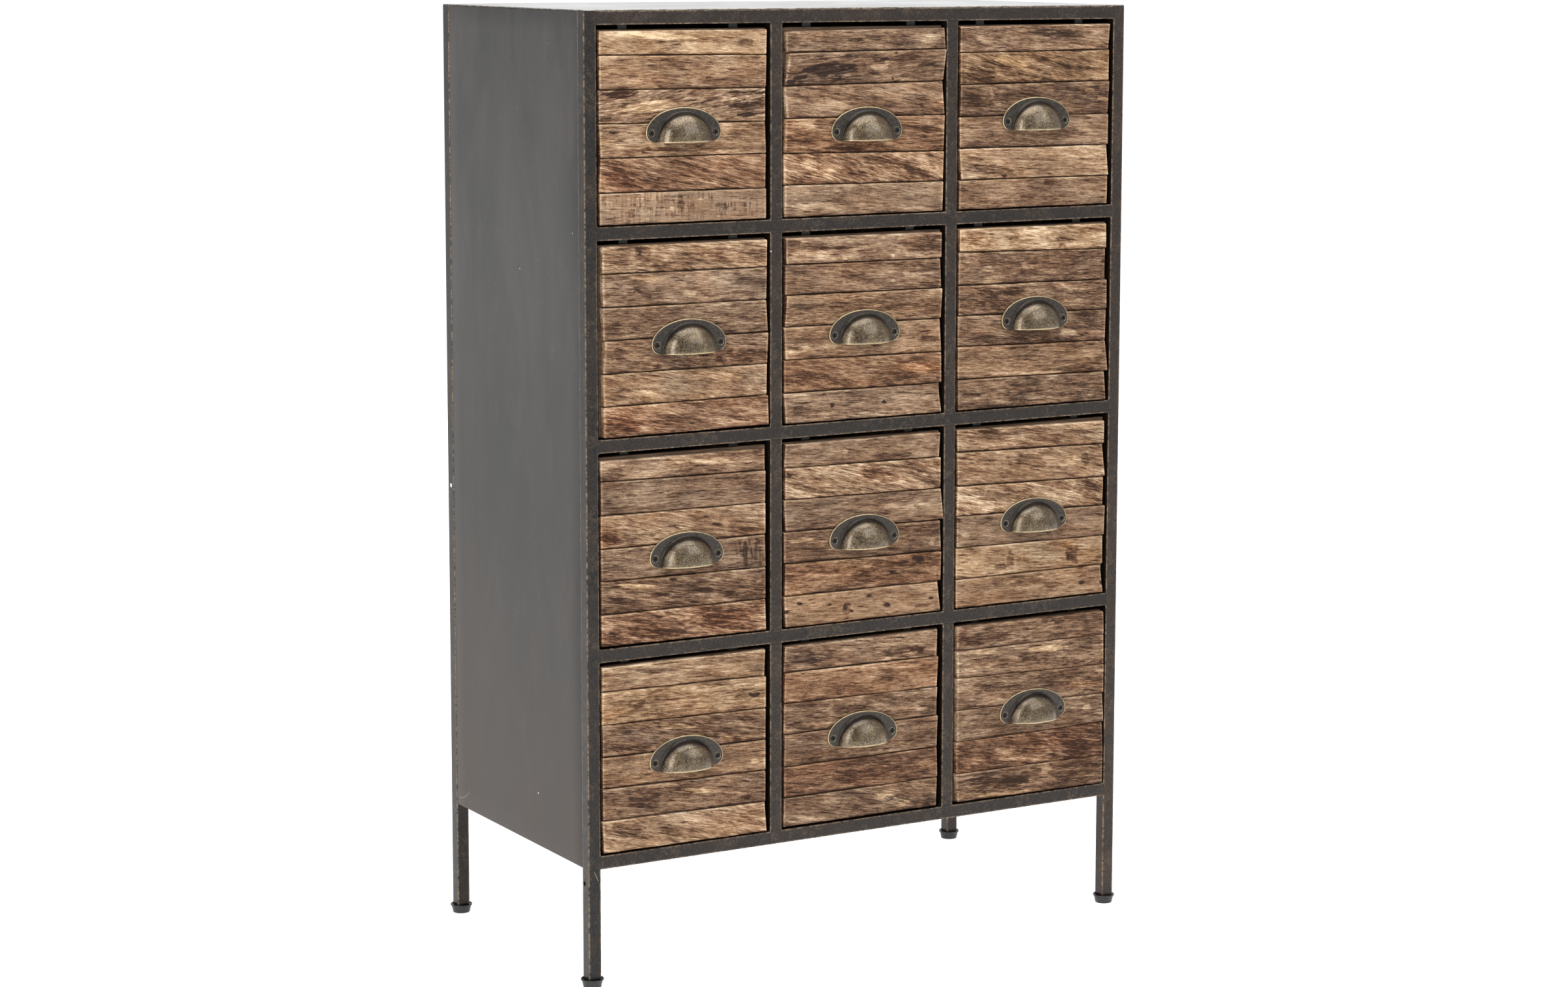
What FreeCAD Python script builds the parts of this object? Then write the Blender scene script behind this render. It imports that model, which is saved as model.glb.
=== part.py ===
import FreeCAD, Part
import math
import os
import random

# A chest of small drawers: a welded steel cabinet on four legs, with drawers of reclaimed wood.
# Its front faces -Y, Z is up, and the origin is on the floor under the middle of the whole.

# Overall sizes of the steel cabinet in millimetres, feet and pulls not counted in plan
width = 700.0
depth = 360.0
height = 1070.0

# One name per row of drawers from the top down, and one per column from the left
rowNames = ("top", "upper", "lower", "bottom")
columnNames = ("left", "middle", "right")

# Welded frame of thin square tube
tube = 15.0
tubeWall = 1.2
tubeCorner = 0.8  # how far the tube's corners are taken off
legClear = 133.0  # floor to the underside of the lowest rails

# Drilled holes in the outer wall of the two left posts
rearBore = 6.0  # diameter, in the middle of the rear post's wall
rearBoreHeight = 512.0
legBore = 5.0  # diameter, in the front leg
legBoreDrop = 16.0  # below the lowest rail
legBoreBack = 10.0  # behind the leg's front face

# Sheet steel skins
sheet = 1.2
topSheet = 1.0
sheetSetback = 0.4  # a side or back skin lies this far inside the tubes' outer face
sheetReturn = 12.0  # width of a skin's folded edges
sheetBend = 0.5  # how far the outer corner of a fold is taken off

# Turned plastic cap on the bottom of each leg
capRim = 2.0  # plastic outside the socket's corners
capTaper = 2.75  # how much narrower the foot is than the lip
capHeight = 10.0
capLip = 2.0  # thickness of the lip
capDish = 1.2  # hollow in the top face, round the tube
capFloor = 3.0  # plastic under the end of the tube
capSlack = 0.1  # gap on each side of the tube in its socket

# Angle runners that carry the drawers, welded between the front and the rear of the frame
angleLeg = 12.0
angleThick = 1.5
runnerGap = 0.3  # daylight between a drawer's side and its runner

# Steel straps behind each front rail that stop a drawer's back on its way out
strapWidth = 10.8
strapThick = 2.0
strapInset = 33.4  # from the side of the opening to the strap
strapDrop = 16.0  # how far it hangs below the rail
strapLap = 9.0  # how far it runs up behind the rail
strapGap = 0.5  # between the straps and the backing board of a closed drawer
stopGap = 1.0  # left between the drawer's back and the strap at full travel

# Drawer fronts of reclaimed boards nailed across a backing board
slatHeight = 36.0
slatThick = 8.5
slatLeast = 12.0  # a narrower rest goes into the top board
slatJoint = 0.5  # open joint between two boards
slatProud = 2.0  # how far the boards stand out from the frame's face
slatWorn = 0.8  # rubbed-off front edges
slatUneven = 0.8  # most that a board's corner lies back from the foremost face
seamWander = 1.3  # most that a joint leaves its true height at either end
endWander = 1.6  # most that a board's end is cut short
frontTopGap = 6.0
frontBottomGap = 1.8
frontSideGap = 2.4
backingTop = 0.8  # the backing board shows this much above the boards
backingSide = 1.2  # and stays this much inside them at each side

# Drawer box, whose backing board fills what is left between the boards and the straps
sideThick = 10.0
backThick = 10.0
bottomThick = 4.0
grooveDepth = 5.0
grooveLift = 8.0  # from the lower edge of a side to its groove
grooveSlack = 0.2
sideClear = 3.0  # between a side and the edge of the opening
sideTopDrop = 14.0  # top of the sides, below the rail
backTopDrop = 12.0  # top of the back, which the straps catch
boxRearGap = 28.9  # behind a closed drawer, up to the rear frame

# Pressed cup pull
pullWidth = 92.0
pullHeight = 37.0
pullReach = 20.0
pullMetal = 1.2
flangeWing = 13.5  # flange on each side of the cup, with a screw in its middle
flangeCrown = 5.8  # flange over the top of the cup
flangeThick = 1.4
flangeBevel = 0.5
screwRise = 9.6  # from the flat lower edge up to the screws, where the flange is widest
pullShift = {  # where each pull was really screwed on: mm right and up from the front's centre
    "top_left": (-3.0, 2.0), "top_middle": (0.0, -2.5), "top_right": (-1.5, 3.5),
    "upper_left": (3.0, 2.5), "upper_middle": (-2.0, 1.0), "upper_right": (-0.5, 4.5),
    "lower_left": (-0.5, -2.0), "lower_middle": (-1.0, -1.5), "lower_right": (0.5, -1.0),
    "bottom_left": (-1.5, 0.0), "bottom_middle": (-2.5, 2.0), "bottom_right": (2.0, 2.5),
}

# Countersunk wood screws of the pulls
screwHeadRadius = 3.6
screwShankRadius = 1.6
screwHeadHeight = 1.9
screwLength = 13.0
screwSlack = 0.15  # round the head in its countersink

# How finely the round forms are divided, because twelve pulls share one budget of facets
cupFacets = 10
cupBands = (0.0, 28.0, 54.0, 76.0)  # degrees round from the flange to the lip
outlineFacets = 14
cornerFacets = 2
screwSides = 8
capSides = 20
flatEnough = 1e-7  # four corners this near one plane make one face

# Sizes that follow from those above
rows = len(rowNames)
columns = len(columnNames)
openingWidth = (width - (columns + 1) * tube) / columns
openingHeight = (height - topSheet - legClear - (rows + 1) * tube) / rows
frontHeight = openingHeight - frontTopGap - frontBottomGap
capLipRadius = (tube / 2 + capSlack) * math.sqrt(2) + capRim
capFootRadius = capLipRadius - capTaper
capOver = capLipRadius - tube / 2
face = (slatProud + pullReach - depth - capOver) / 2  # Y of the frame's front face
slatFace = face - slatProud
backingFace = slatFace + slatThick
strapFront = face + tube
strapRear = strapFront + strapThick
backingRear = strapFront - strapGap
rearFrame = face + depth - sheetSetback - sheet - tube  # Y of the rear rails' front face
boxRear = rearFrame - boxRearGap
travel = boxRear - backThick - strapRear - stopGap
cupHalfWidth = pullWidth / 2 - flangeWing
cupHeight = pullHeight - flangeCrown
screwSpacing = pullWidth - flangeWing


def box(x, y, z, sizeX, sizeY, sizeZ):
    return Part.makeBox(sizeX, sizeY, sizeZ, FreeCAD.Vector(x, y, z))


def ring(outline, y):
    """Points of an outline drawn in X and Z, standing at y."""
    return [FreeCAD.Vector(x, y, z) for x, z in outline]


def flatFaces(corners):
    """One flat face through four corners, or two triangles where they don't lie in a plane."""
    normal = (corners[1] - corners[0]).cross(corners[2] - corners[0])
    offPlane = abs(normal.dot(corners[3] - corners[0])) / normal.Length
    pieces = [corners] if offPlane < flatEnough else [corners[:3], corners[2:] + corners[:1]]
    return [Part.Face(Part.makePolygon(piece + piece[:1])) for piece in pieces]


def facetedSolid(rings):
    """A closed solid through rings of points, with flat faces from each ring to the next."""
    faces = [Part.Face(Part.makePolygon(end + end[:1])) for end in (rings[0], rings[-1])]
    for near, far in zip(rings, rings[1:]):
        for i in range(len(near)):
            j = (i + 1) % len(near)
            faces += flatFaces([near[i], near[j], far[j], far[i]])
    solid = Part.makeSolid(Part.makeShell(faces))
    return solid if solid.Volume > 0 else solid.reversed()


def tubeRun(x, y, z, length, along):
    """A square tube whose lowest corner is at x, y, z, open at both ends."""
    sizes = {"x": (length, tube, tube), "z": (tube, tube, length)}[along]
    outer = box(x, y, z, *sizes)
    direction = FreeCAD.Vector(along == "x", 0, along == "z")
    longEdges = [e for e in outer.Edges if abs(e.tangentAt(0).dot(direction)) > 0.99]
    outer = outer.makeChamfer(tubeCorner, longEdges)
    inner = tube - 2 * tubeWall
    hole = {"x": (length, inner, inner), "z": (inner, inner, length)}[along]
    offset = {"x": (0, tubeWall, tubeWall), "z": (tubeWall, tubeWall, 0)}[along]
    return outer.cut(box(x + offset[0], y + offset[1], z + offset[2], *hole))


def openingLeft(column):
    return -width / 2 + tube + column * (openingWidth + tube)


def openingFloor(row):
    return legClear + tube + (rows - 1 - row) * (openingHeight + tube)


def openingTop(row):
    return openingFloor(row) + openingHeight


def openings():
    return [(row, column) for row in range(rows) for column in range(columns)]


def postCorners():
    """The lowest X and Y of each leg, which runs up as the corner post."""
    return [(x, y) for x in (-width / 2, width / 2 - tube) for y in (face, face + depth - tube)]


def boreInLeftWall(diameter, y, z):
    """The round plug of metal that a drill takes out of the left wall of a left post."""
    start = FreeCAD.Vector(-width / 2 - tubeWall, y, z)
    return Part.makeCylinder(diameter / 2, 3 * tubeWall, start, FreeCAD.Vector(1, 0, 0))


def cornerPosts():
    length = height - topSheet - capFloor
    posts = [tubeRun(x, y, capFloor, length, "z") for x, y in postCorners()]
    frontLeft, rearLeft = posts[:2]
    legHole = boreInLeftWall(legBore, face + legBoreBack, legClear - legBoreDrop)
    rearHole = boreInLeftWall(rearBore, face + depth - tube / 2, rearBoreHeight)
    return [frontLeft.cut(legHole), rearLeft.cut(rearHole)] + posts[2:]


def frontRails():
    heights = [legClear + i * (openingHeight + tube) for i in range(rows + 1)]
    return [tubeRun(-width / 2 + tube, face, z, width - 2 * tube, "x") for z in heights]


def frontMullions():
    """Short uprights between the rails, with one column of drawers on each side."""
    places = [(row, column) for row, column in openings() if column > 0]
    return [
        tubeRun(openingLeft(column) - tube, face, openingFloor(row), openingHeight, "z")
        for row, column in places
    ]


def rearFrameTubes():
    """Top and bottom rails behind, with one upright behind each line of mullions."""
    low, high = legClear, height - topSheet - tube
    rails = [tubeRun(-width / 2 + tube, rearFrame, z, width - 2 * tube, "x") for z in (low, high)]
    uprights = [
        tubeRun(openingLeft(column) - tube, rearFrame, low + tube, high - low - tube, "z")
        for column in range(1, columns)
    ]
    return rails + uprights


def sideSkin(side):
    """A sheet with its four edges folded in; side is -1 for the left skin, 1 for the right."""
    outer = side * (width / 2 - sheetSetback)
    x = min(outer, outer - side * sheetReturn)
    long = depth - 2 * tube
    tall = height - topSheet - legClear
    tray = box(x, face + tube, legClear, sheetReturn, long, tall)
    outerFace = max(tray.Faces, key=lambda f: side * f.CenterOfMass.x)
    tray = tray.makeChamfer(sheetBend, outerFace.Edges)
    return tray.cut(box(x - side * sheet, face + tube + sheet, legClear + sheet,
                        sheetReturn, long - 2 * sheet, tall - 2 * sheet))


def backSkin():
    """A flat sheet between the rear posts, welded to the rear tubes."""
    y = face + depth - sheetSetback - sheet
    tall = height - topSheet - legClear
    return box(-width / 2 + tube, y, legClear, width - 2 * tube, sheet, tall)


def topSkin():
    return box(-width / 2, face, height - topSheet, width, depth, topSheet)


def bottomSkin():
    """Lies on the side skins' lower folds, from their front folds back to the rear rail."""
    half = width / 2 - sheetSetback - sheet
    front = face + tube + sheet
    return box(-half, front, legClear + sheet, 2 * half, rearFrame - front, sheet)


def angle(edge, inward, z, y0, y1):
    """An angle runner: its upright leg stands outside edge, and its shelf reaches inward."""
    uprightX = edge - angleThick if inward > 0 else edge
    shelfX = edge - angleThick if inward > 0 else edge + angleThick - angleLeg
    upright = box(uprightX, y0, z, angleThick, y1 - y0, angleLeg)
    shelf = box(shelfX, y0, z, angleLeg, y1 - y0, angleThick)
    return upright.fuse(shelf).removeSplitter()


def drawerRunners():
    runners = []
    for row, column in openings():
        left = openingLeft(column)
        postRear = face + depth - tube
        leftEnd = postRear if column == 0 else rearFrame
        rightEnd = postRear if column == columns - 1 else rearFrame
        z = openingFloor(row)
        runners.append(angle(left, 1, z, face + tube, leftEnd))
        runners.append(angle(left + openingWidth, -1, z, face + tube, rightEnd))
    return runners


def stopStraps():
    straps = []
    for row, column in openings():
        left = openingLeft(column)
        for x in (left + strapInset, left + openingWidth - strapInset - strapWidth):
            straps.append(box(x, strapFront, openingTop(row) - strapDrop,
                              strapWidth, strapThick, strapDrop + strapLap))
    return straps


def footCap(x, y):
    """A turned cap: a wide dished lip over a tapering foot, with a square socket for the tube."""
    dishEdge = capLipRadius - capDish
    profile = [(capFootRadius - capDish, 0), (capFootRadius, capDish),
               (capLipRadius - capDish, capHeight - capLip), (capLipRadius, capHeight - capLip),
               (capLipRadius, capHeight), (dishEdge, capHeight),
               (dishEdge - capDish, capHeight - capDish)]
    turns = [2 * math.pi * i / capSides for i in range(capSides)]
    rings = [[FreeCAD.Vector(x + tube / 2 + r * math.cos(a), y + tube / 2 + r * math.sin(a), z)
              for a in turns] for r, z in profile]
    socket = tube + 2 * capSlack
    return facetedSolid(rings).cut(box(x - capSlack, y - capSlack, capFloor,
                                       socket, socket, capHeight))


def footCaps():
    return [footCap(x, y) for x, y in postCorners()]


def slat(left, right, lowAt, highAt, faceAt):
    """One board between two joints, each a line over X: flat behind, its front edges rubbed off."""
    rings = []
    for x in (left, right):
        low, high = lowAt(x), highAt(x)
        lowFace = faceAt(x, low + slatWorn)
        highFace = faceAt(x, high - slatWorn)
        outline = [(backingFace, low), (backingFace, high), (highFace + slatWorn, high),
                   (highFace, high - slatWorn), (lowFace, low + slatWorn),
                   (lowFace + slatWorn, low)]
        rings.append([FreeCAD.Vector(x, y, z) for y, z in outline])
    return facetedSolid(rings)


def frontSlats(row, column, rng):
    """Reclaimed boards laid up from below, whose joints, ends and faces all wander a little."""
    left = openingLeft(column) + frontSideGap
    right = openingLeft(column) + openingWidth - frontSideGap
    bottom = openingFloor(row) + frontBottomGap
    fullSlats = int((frontHeight - slatLeast) // slatHeight)
    seams = [(bottom, 0)]
    for i in range(1, fullSlats + 1):
        ends = [rng.uniform(-seamWander, seamWander) for side in ("left", "right")]
        slope = (ends[1] - ends[0]) / (right - left)
        seams.append((bottom + i * slatHeight + ends[0], slope))
    seams.append((bottom + frontHeight, 0))

    slats = []
    for lower, upper in zip(seams, seams[1:]):
        ends = (left + rng.uniform(0, endWander), right - rng.uniform(0, endWander))
        middle = (lower[0] + upper[0]) / 2
        leanAlong = rng.uniform(-slatUneven, slatUneven) / 2 / (right - left)
        leanUp = rng.uniform(-slatUneven, slatUneven) / 2 / slatHeight

        def faceAt(x, z):
            back = leanAlong * (x - (left + right) / 2) + leanUp * (z - middle)
            return slatFace + slatUneven / 2 + back

        def lowAt(x):
            return lower[0] + lower[1] * (x - left) + slatJoint / 2

        def highAt(x):
            return upper[0] + upper[1] * (x - left) - slatJoint / 2

        slats.append(slat(ends[0], ends[1], lowAt, highAt, faceAt))
    return slats


def drawerBox(row, column):
    """Backing board, two grooved sides, a back, and a thin bottom that slides in below it."""
    left = openingLeft(column)
    floor = openingFloor(row)
    lowest = floor + angleThick + runnerGap
    sideLeft = left + sideClear
    sideRight = left + openingWidth - sideClear - sideThick
    grooveFloor = lowest + grooveLift
    inner = sideRight - sideLeft - sideThick

    inset = frontSideGap + backingSide
    backing = box(left + inset, backingFace, lowest, openingWidth - 2 * inset,
                  backingRear - backingFace, floor + openingHeight - frontTopGap + backingTop - lowest)
    groove = box(sideLeft + sideThick - grooveDepth, backingRear - grooveDepth,
                 grooveFloor, inner + 2 * grooveDepth, boxRear - backingRear + 2 * grooveDepth,
                 bottomThick + grooveSlack)
    sideTop = floor + openingHeight - sideTopDrop
    sides = [box(x, backingRear, lowest, sideThick, boxRear - backingRear, sideTop - lowest)
             for x in (sideLeft, sideRight)]
    back = box(sideLeft + sideThick, boxRear - backThick, grooveFloor + bottomThick, inner,
               backThick, floor + openingHeight - backTopDrop - grooveFloor - bottomThick)
    bottomFront = backingRear - grooveDepth + grooveSlack
    bottom = box(sideLeft + sideThick - grooveDepth + grooveSlack,
                 bottomFront, grooveFloor, inner + 2 * (grooveDepth - grooveSlack),
                 boxRear - bottomFront, bottomThick)
    return [backing.cut(groove)] + [side.cut(groove) for side in sides] + [back, bottom]


def pullOutline(inset):
    """Half-moon outline in X and Z: a half ellipse over two rounded lower corners."""
    halfWidth = pullWidth / 2 - inset
    arch = [180 * i / outlineFacets for i in range(outlineFacets + 1)]
    points = [(halfWidth * math.cos(math.radians(a)),
               screwRise + (pullHeight - screwRise - inset) * math.sin(math.radians(a)))
              for a in arch]
    corner = screwRise - inset
    turns = [90 * i / cornerFacets for i in range(1, cornerFacets + 1)]
    lowerLeft = [(-halfWidth + corner * (1 - math.cos(math.radians(a))),
                  screwRise - corner * math.sin(math.radians(a))) for a in turns]
    lowerRight = [(-x, z) for x, z in reversed(lowerLeft)]
    return points + lowerLeft + lowerRight


def cupOutline(halfWidth, cupTop, foot):
    """Half ellipse in X and Z whose straight lower edge lies foot below its centre."""
    angles = [math.radians(180 * i / cupFacets) for i in range(cupFacets + 1)]
    arch = [(halfWidth * math.cos(a), cupTop * math.sin(a)) for a in angles]
    return arch if foot == 0 else arch + [(-halfWidth, -foot), (halfWidth, -foot)]


def cupDome(halfWidth, cupTop, reach, foot):
    """Quarter ellipsoid in flat facets: outlines that shrink from the flange towards the lip."""
    rings = [ring(cupOutline(halfWidth, cupTop, foot), foot)] if foot else []
    fullReach = math.sin(math.radians(cupBands[-1]))
    for degrees in cupBands:
        shrink = math.cos(math.radians(degrees))
        outline = cupOutline(halfWidth * shrink, cupTop * shrink, foot)
        rings.append(ring(outline, -reach * math.sin(math.radians(degrees)) / fullReach))
    return facetedSolid(rings)


def peg(x, z, y0, radius0, y1, radius1):
    """A straight or tapering peg along Y, from radius0 at y0 to radius1 at y1."""
    turns = [2 * math.pi * i / screwSides for i in range(screwSides)]
    ends = ((y0, radius0), (y1, radius1))
    return facetedSolid([ring([(x + r * math.cos(a), z + r * math.sin(a)) for a in turns], y)
                         for y, r in ends])


def pullPlace(row, column):
    """Middle of the pull's flat lower edge, on the face of the boards."""
    shiftX, shiftZ = pullShift[rowNames[row] + "_" + columnNames[column]]
    frontMiddle = openingFloor(row) + frontBottomGap + frontHeight / 2
    return FreeCAD.Vector(openingLeft(column) + openingWidth / 2 + shiftX, slatFace,
                          frontMiddle - pullHeight / 2 + shiftZ)


def screwHead(x, slack):
    """A countersunk head, or with slack the seat for it."""
    return peg(x, screwRise, -flangeThick, screwHeadRadius + slack,
               screwHeadHeight - flangeThick, screwShankRadius + slack)


def cupPull():
    """Pressed from one sheet: a bevelled flange and a hollow cup, open below and behind."""
    flange = facetedSolid([ring(pullOutline(0), 0),
                           ring(pullOutline(0), flangeBevel - flangeThick),
                           ring(pullOutline(flangeBevel), -flangeThick)])
    dome = cupDome(cupHalfWidth, cupHeight, pullReach, 0)
    hollow = cupDome(cupHalfWidth - pullMetal, cupHeight - pullMetal, pullReach - pullMetal,
                     pullMetal)
    pull = flange.fuse(dome).cut(hollow)
    for x in (-screwSpacing / 2, screwSpacing / 2):
        pull = pull.cut(screwHead(x, screwSlack))
    return pull


def pullScrews():
    screws = []
    for x in (-screwSpacing / 2, screwSpacing / 2):
        shank = peg(x, screwRise, screwHeadHeight - flangeThick, screwShankRadius,
                    screwLength - flangeThick, screwShankRadius / 2)
        screws.append(screwHead(x, 0).fuse(shank))
    return screws


def moved(shapes, place):
    copies = [shape.copy() for shape in shapes]
    for shape in copies:
        shape.translate(place)
    return copies


def export(node, shapes):
    shape = shapes[0] if len(shapes) == 1 else Part.makeCompound(shapes)
    shape.exportStep("parts/" + node + ".step")


os.makedirs("parts", exist_ok=True)

export("corner_posts", cornerPosts())
export("front_rails", frontRails())
export("front_mullions", frontMullions())
export("rear_frame", rearFrameTubes())
export("left_side_panel", [sideSkin(-1)])
export("right_side_panel", [sideSkin(1)])
export("back_panel", [backSkin()])
export("top_panel", [topSkin()])
export("bottom_panel", [bottomSkin()])
export("drawer_runners", drawerRunners())
export("stop_straps", stopStraps())
export("foot_caps", footCaps())

pull = cupPull()
screws = pullScrews()
for row, column in openings():
    drawer = rowNames[row] + "_" + columnNames[column]
    place = pullPlace(row, column)
    driven = moved(screws, place)
    pilot = Part.makeCompound(driven)
    slats = frontSlats(row, column, random.Random(drawer))
    export(drawer + "_slats", [board.cut(pilot) for board in slats])
    export(drawer + "_drawer_box", [board.cut(pilot) for board in drawerBox(row, column)])
    export(drawer + "_cup_pull", moved([pull], place))
    export(drawer + "_pull_screws", driven)

print("drawer travel", round(travel, 2), "mm, face at Y", round(face, 3))
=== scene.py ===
import math
import bpy
import numpy as np
from mathutils import Matrix, Vector


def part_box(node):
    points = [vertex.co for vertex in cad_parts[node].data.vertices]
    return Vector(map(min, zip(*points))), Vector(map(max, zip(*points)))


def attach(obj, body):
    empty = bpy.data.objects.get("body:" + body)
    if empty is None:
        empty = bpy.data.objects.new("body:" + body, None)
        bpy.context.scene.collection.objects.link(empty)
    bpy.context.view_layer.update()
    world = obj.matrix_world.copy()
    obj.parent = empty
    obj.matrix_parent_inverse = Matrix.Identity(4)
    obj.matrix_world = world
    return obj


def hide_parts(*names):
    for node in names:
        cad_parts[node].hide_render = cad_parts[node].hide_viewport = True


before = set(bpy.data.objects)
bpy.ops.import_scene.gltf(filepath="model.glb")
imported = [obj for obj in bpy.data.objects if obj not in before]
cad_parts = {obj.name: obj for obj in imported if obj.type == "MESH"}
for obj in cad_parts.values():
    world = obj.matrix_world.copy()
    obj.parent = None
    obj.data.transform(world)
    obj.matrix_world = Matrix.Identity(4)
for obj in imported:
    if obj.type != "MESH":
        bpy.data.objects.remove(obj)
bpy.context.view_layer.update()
mm = 0.001
collection = bpy.context.scene.collection


# sizes of the steel frame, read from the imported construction

def span(node):
    low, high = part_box(node)
    return np.array(low), np.array(high)


postLow, postHigh = span("corner_posts")
railLow, railHigh = span("front_rails")
rearLow, rearHigh = span("rear_frame")
tube = railHigh[1] - railLow[1]
width = postHigh[0] - postLow[0]
frontY, rearY = postLow[1], postHigh[1]
rowPitch = (railHigh[2] - tube - railLow[2]) / 4
railHeights = railLow[2] + rowPitch * np.arange(5)
openingWidth = (width - 4 * tube) / 3
openingHeight = rowPitch - tube
rowNames = ("top", "upper", "lower", "bottom")
columnNames = ("left", "middle", "right")
openings = [(row, column) for row in range(4) for column in range(3)]


def openingLeft(column):
    return -width / 2 + tube + column * (openingWidth + tube)


def openingTop(row):
    return railHeights[4 - row]


# smooth noise and mesh making

def latticeValue(ix, iy, seed):
    # a steady value from 0 to 1 for each lattice point: products with odd numbers, mixed by shifts
    h = (ix.astype(np.int64) * 374761393 + iy.astype(np.int64) * 668265263 + seed * 974634777) & 0xFFFFFFFF
    h = ((h ^ (h >> 13)) * 1274126177) & 0xFFFFFFFF
    return ((h ^ (h >> 16)) & 0xFFFFFF) / 0xFFFFFF


def softNoise(x, y, seed):
    # lattice values blended with 3t^2 - 2t^3 across each cell, from -1 to 1
    x, y = np.broadcast_arrays(x, y)
    ix, iy = np.floor(x), np.floor(y)
    tx, ty = x - ix, y - iy
    tx, ty = tx * tx * (3 - 2 * tx), ty * ty * (3 - 2 * ty)
    near = latticeValue(ix, iy, seed) * (1 - tx) + latticeValue(ix + 1, iy, seed) * tx
    far = latticeValue(ix, iy + 1, seed) * (1 - tx) + latticeValue(ix + 1, iy + 1, seed) * tx
    return 2 * (near * (1 - ty) + far * ty) - 1


def ease(x, low, high):
    t = np.clip((x - low) / (high - low), 0, 1)
    return t * t * (3 - 2 * t)


def spread(x, y, z):
    # three coordinates of any shapes that fit one another, as one array of points
    return np.stack(np.broadcast_arrays(x, y, z), -1)


def gridFaces(rows, columns, roundColumns=False):
    # four-cornered faces between neighbours on a grid; round columns join the last one to the first
    i, j = np.arange(rows - 1), np.arange(columns if roundColumns else columns - 1)
    i, j = (a.ravel() for a in np.meshgrid(i, j, indexing="ij"))
    nextJ = (j + 1) % columns
    return np.stack([i * columns + j, i * columns + nextJ, (i + 1) * columns + nextJ, (i + 1) * columns + j], 1)


def shell(points, faces, **values):
    return {"points": np.asarray(points, float).reshape(-1, 3), "faces": faces, "values": values}


def loft(points, **values):
    # points[station, corner] run round a closed outline at each station; both ends are closed
    stations, corners = points.shape[:2]
    ends = [np.arange(corners)[None, ::-1], (stations - 1) * corners + np.arange(corners)[None, :]]
    return shell(points, [gridFaces(stations, corners, roundColumns=True)] + ends, **values)


def volumeOf(points, faces):
    # six times the enclosed volume, positive where the faces point outwards
    total = 0
    for f in faces:
        for k in range(1, f.shape[1] - 1):
            a, b, c = points[f[:, 0]], points[f[:, k]], points[f[:, k + 1]]
            total += np.einsum("ij,ij->i", a, np.cross(b, c)).sum()
    return total


def polygonMesh(name, points, loops, sizes):
    # corner numbers of all faces in a row, and how many corners each face has
    mesh = bpy.data.meshes.new(name)
    mesh.vertices.add(len(points))
    mesh.vertices.foreach_set("co", points.astype(np.float32).ravel())
    mesh.loops.add(len(loops))
    mesh.loops.foreach_set("vertex_index", loops.astype(np.int32))
    mesh.polygons.add(len(sizes))
    mesh.polygons.foreach_set("loop_start", np.concatenate([[0], np.cumsum(sizes)[:-1]]).astype(np.int32))
    mesh.update(calc_edges=True)
    mesh.validate()
    return mesh


def makeMesh(name, shells, smoothAngle=38, closed=True):
    # corners nearer than a thousandth of a millimetre become one, and every closed shell faces outwards
    points, loops, sizes, start = [], [], [], 0
    kinds = sorted({k for s in shells for k in s["values"]})
    values = {k: [] for k in kinds}
    for s in shells:
        p = s["points"]
        keys = np.round(p / 1e-6).astype(np.int64)
        _, first, weld = np.unique(keys, axis=0, return_index=True, return_inverse=True)
        weld = weld.ravel()
        flip = closed and volumeOf(p - p.mean(0), s["faces"]) < 0
        for f in s["faces"]:
            corners = weld[f[:, ::-1] if flip else f]
            keep = corners != np.roll(corners, -1, axis=1)
            size = keep.sum(1)
            keep &= (size > 2)[:, None]
            loops.append(corners[keep] + start)
            sizes.append(size[size > 2])
        points.append(p[first])
        for k in kinds:
            v = np.asarray(s["values"].get(k, 0.0), float)
            v = np.broadcast_to(v, (len(p),)) if v.ndim == 0 else v.reshape(len(p), -1).squeeze()
            values[k].append(v[first])
        start += len(first)
    mesh = polygonMesh(name, *(np.concatenate(a) for a in (points, loops, sizes)))
    for k in kinds:
        v = np.concatenate(values[k]).astype(np.float32)
        layer = mesh.attributes.new(k, "FLOAT" if v.ndim == 1 else "FLOAT_VECTOR", "POINT")
        layer.data.foreach_set("value" if v.ndim == 1 else "vector", v.ravel())
    return smoothed(mesh, smoothAngle)


def smoothed(mesh, angle):
    mesh.shade_smooth()
    mesh.set_sharp_from_angle(angle=math.radians(angle))
    return mesh


def readArray(items, key, kind, share=1):
    values = np.empty(len(items) * share, kind)
    items.foreach_get(key, values)
    return values


def pointsOf(mesh):
    return readArray(mesh.vertices, "co", np.float32, 3).reshape(-1, 3)


def shifted(mesh, name, offset):
    copy = mesh.copy()
    copy.name = name
    copy.vertices.foreach_set("co", (pointsOf(mesh) + np.array(offset, np.float32)).ravel())
    copy.update()
    return copy


def repeated(mesh, name, offsets):
    # one mesh that has a copy of the given one at each offset
    points, count = pointsOf(mesh), len(offsets)
    loops = readArray(mesh.loops, "vertex_index", np.int32) + np.arange(count)[:, None] * len(points)
    sizes = readArray(mesh.polygons, "loop_total", np.int32)
    points = points + np.array(offsets)[:, None]
    return polygonMesh(name, points.reshape(-1, 3), loops.ravel(), np.tile(sizes, count))


def addObject(name, data):
    made = bpy.data.objects.new(name, data)
    collection.objects.link(made)
    return made


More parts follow.
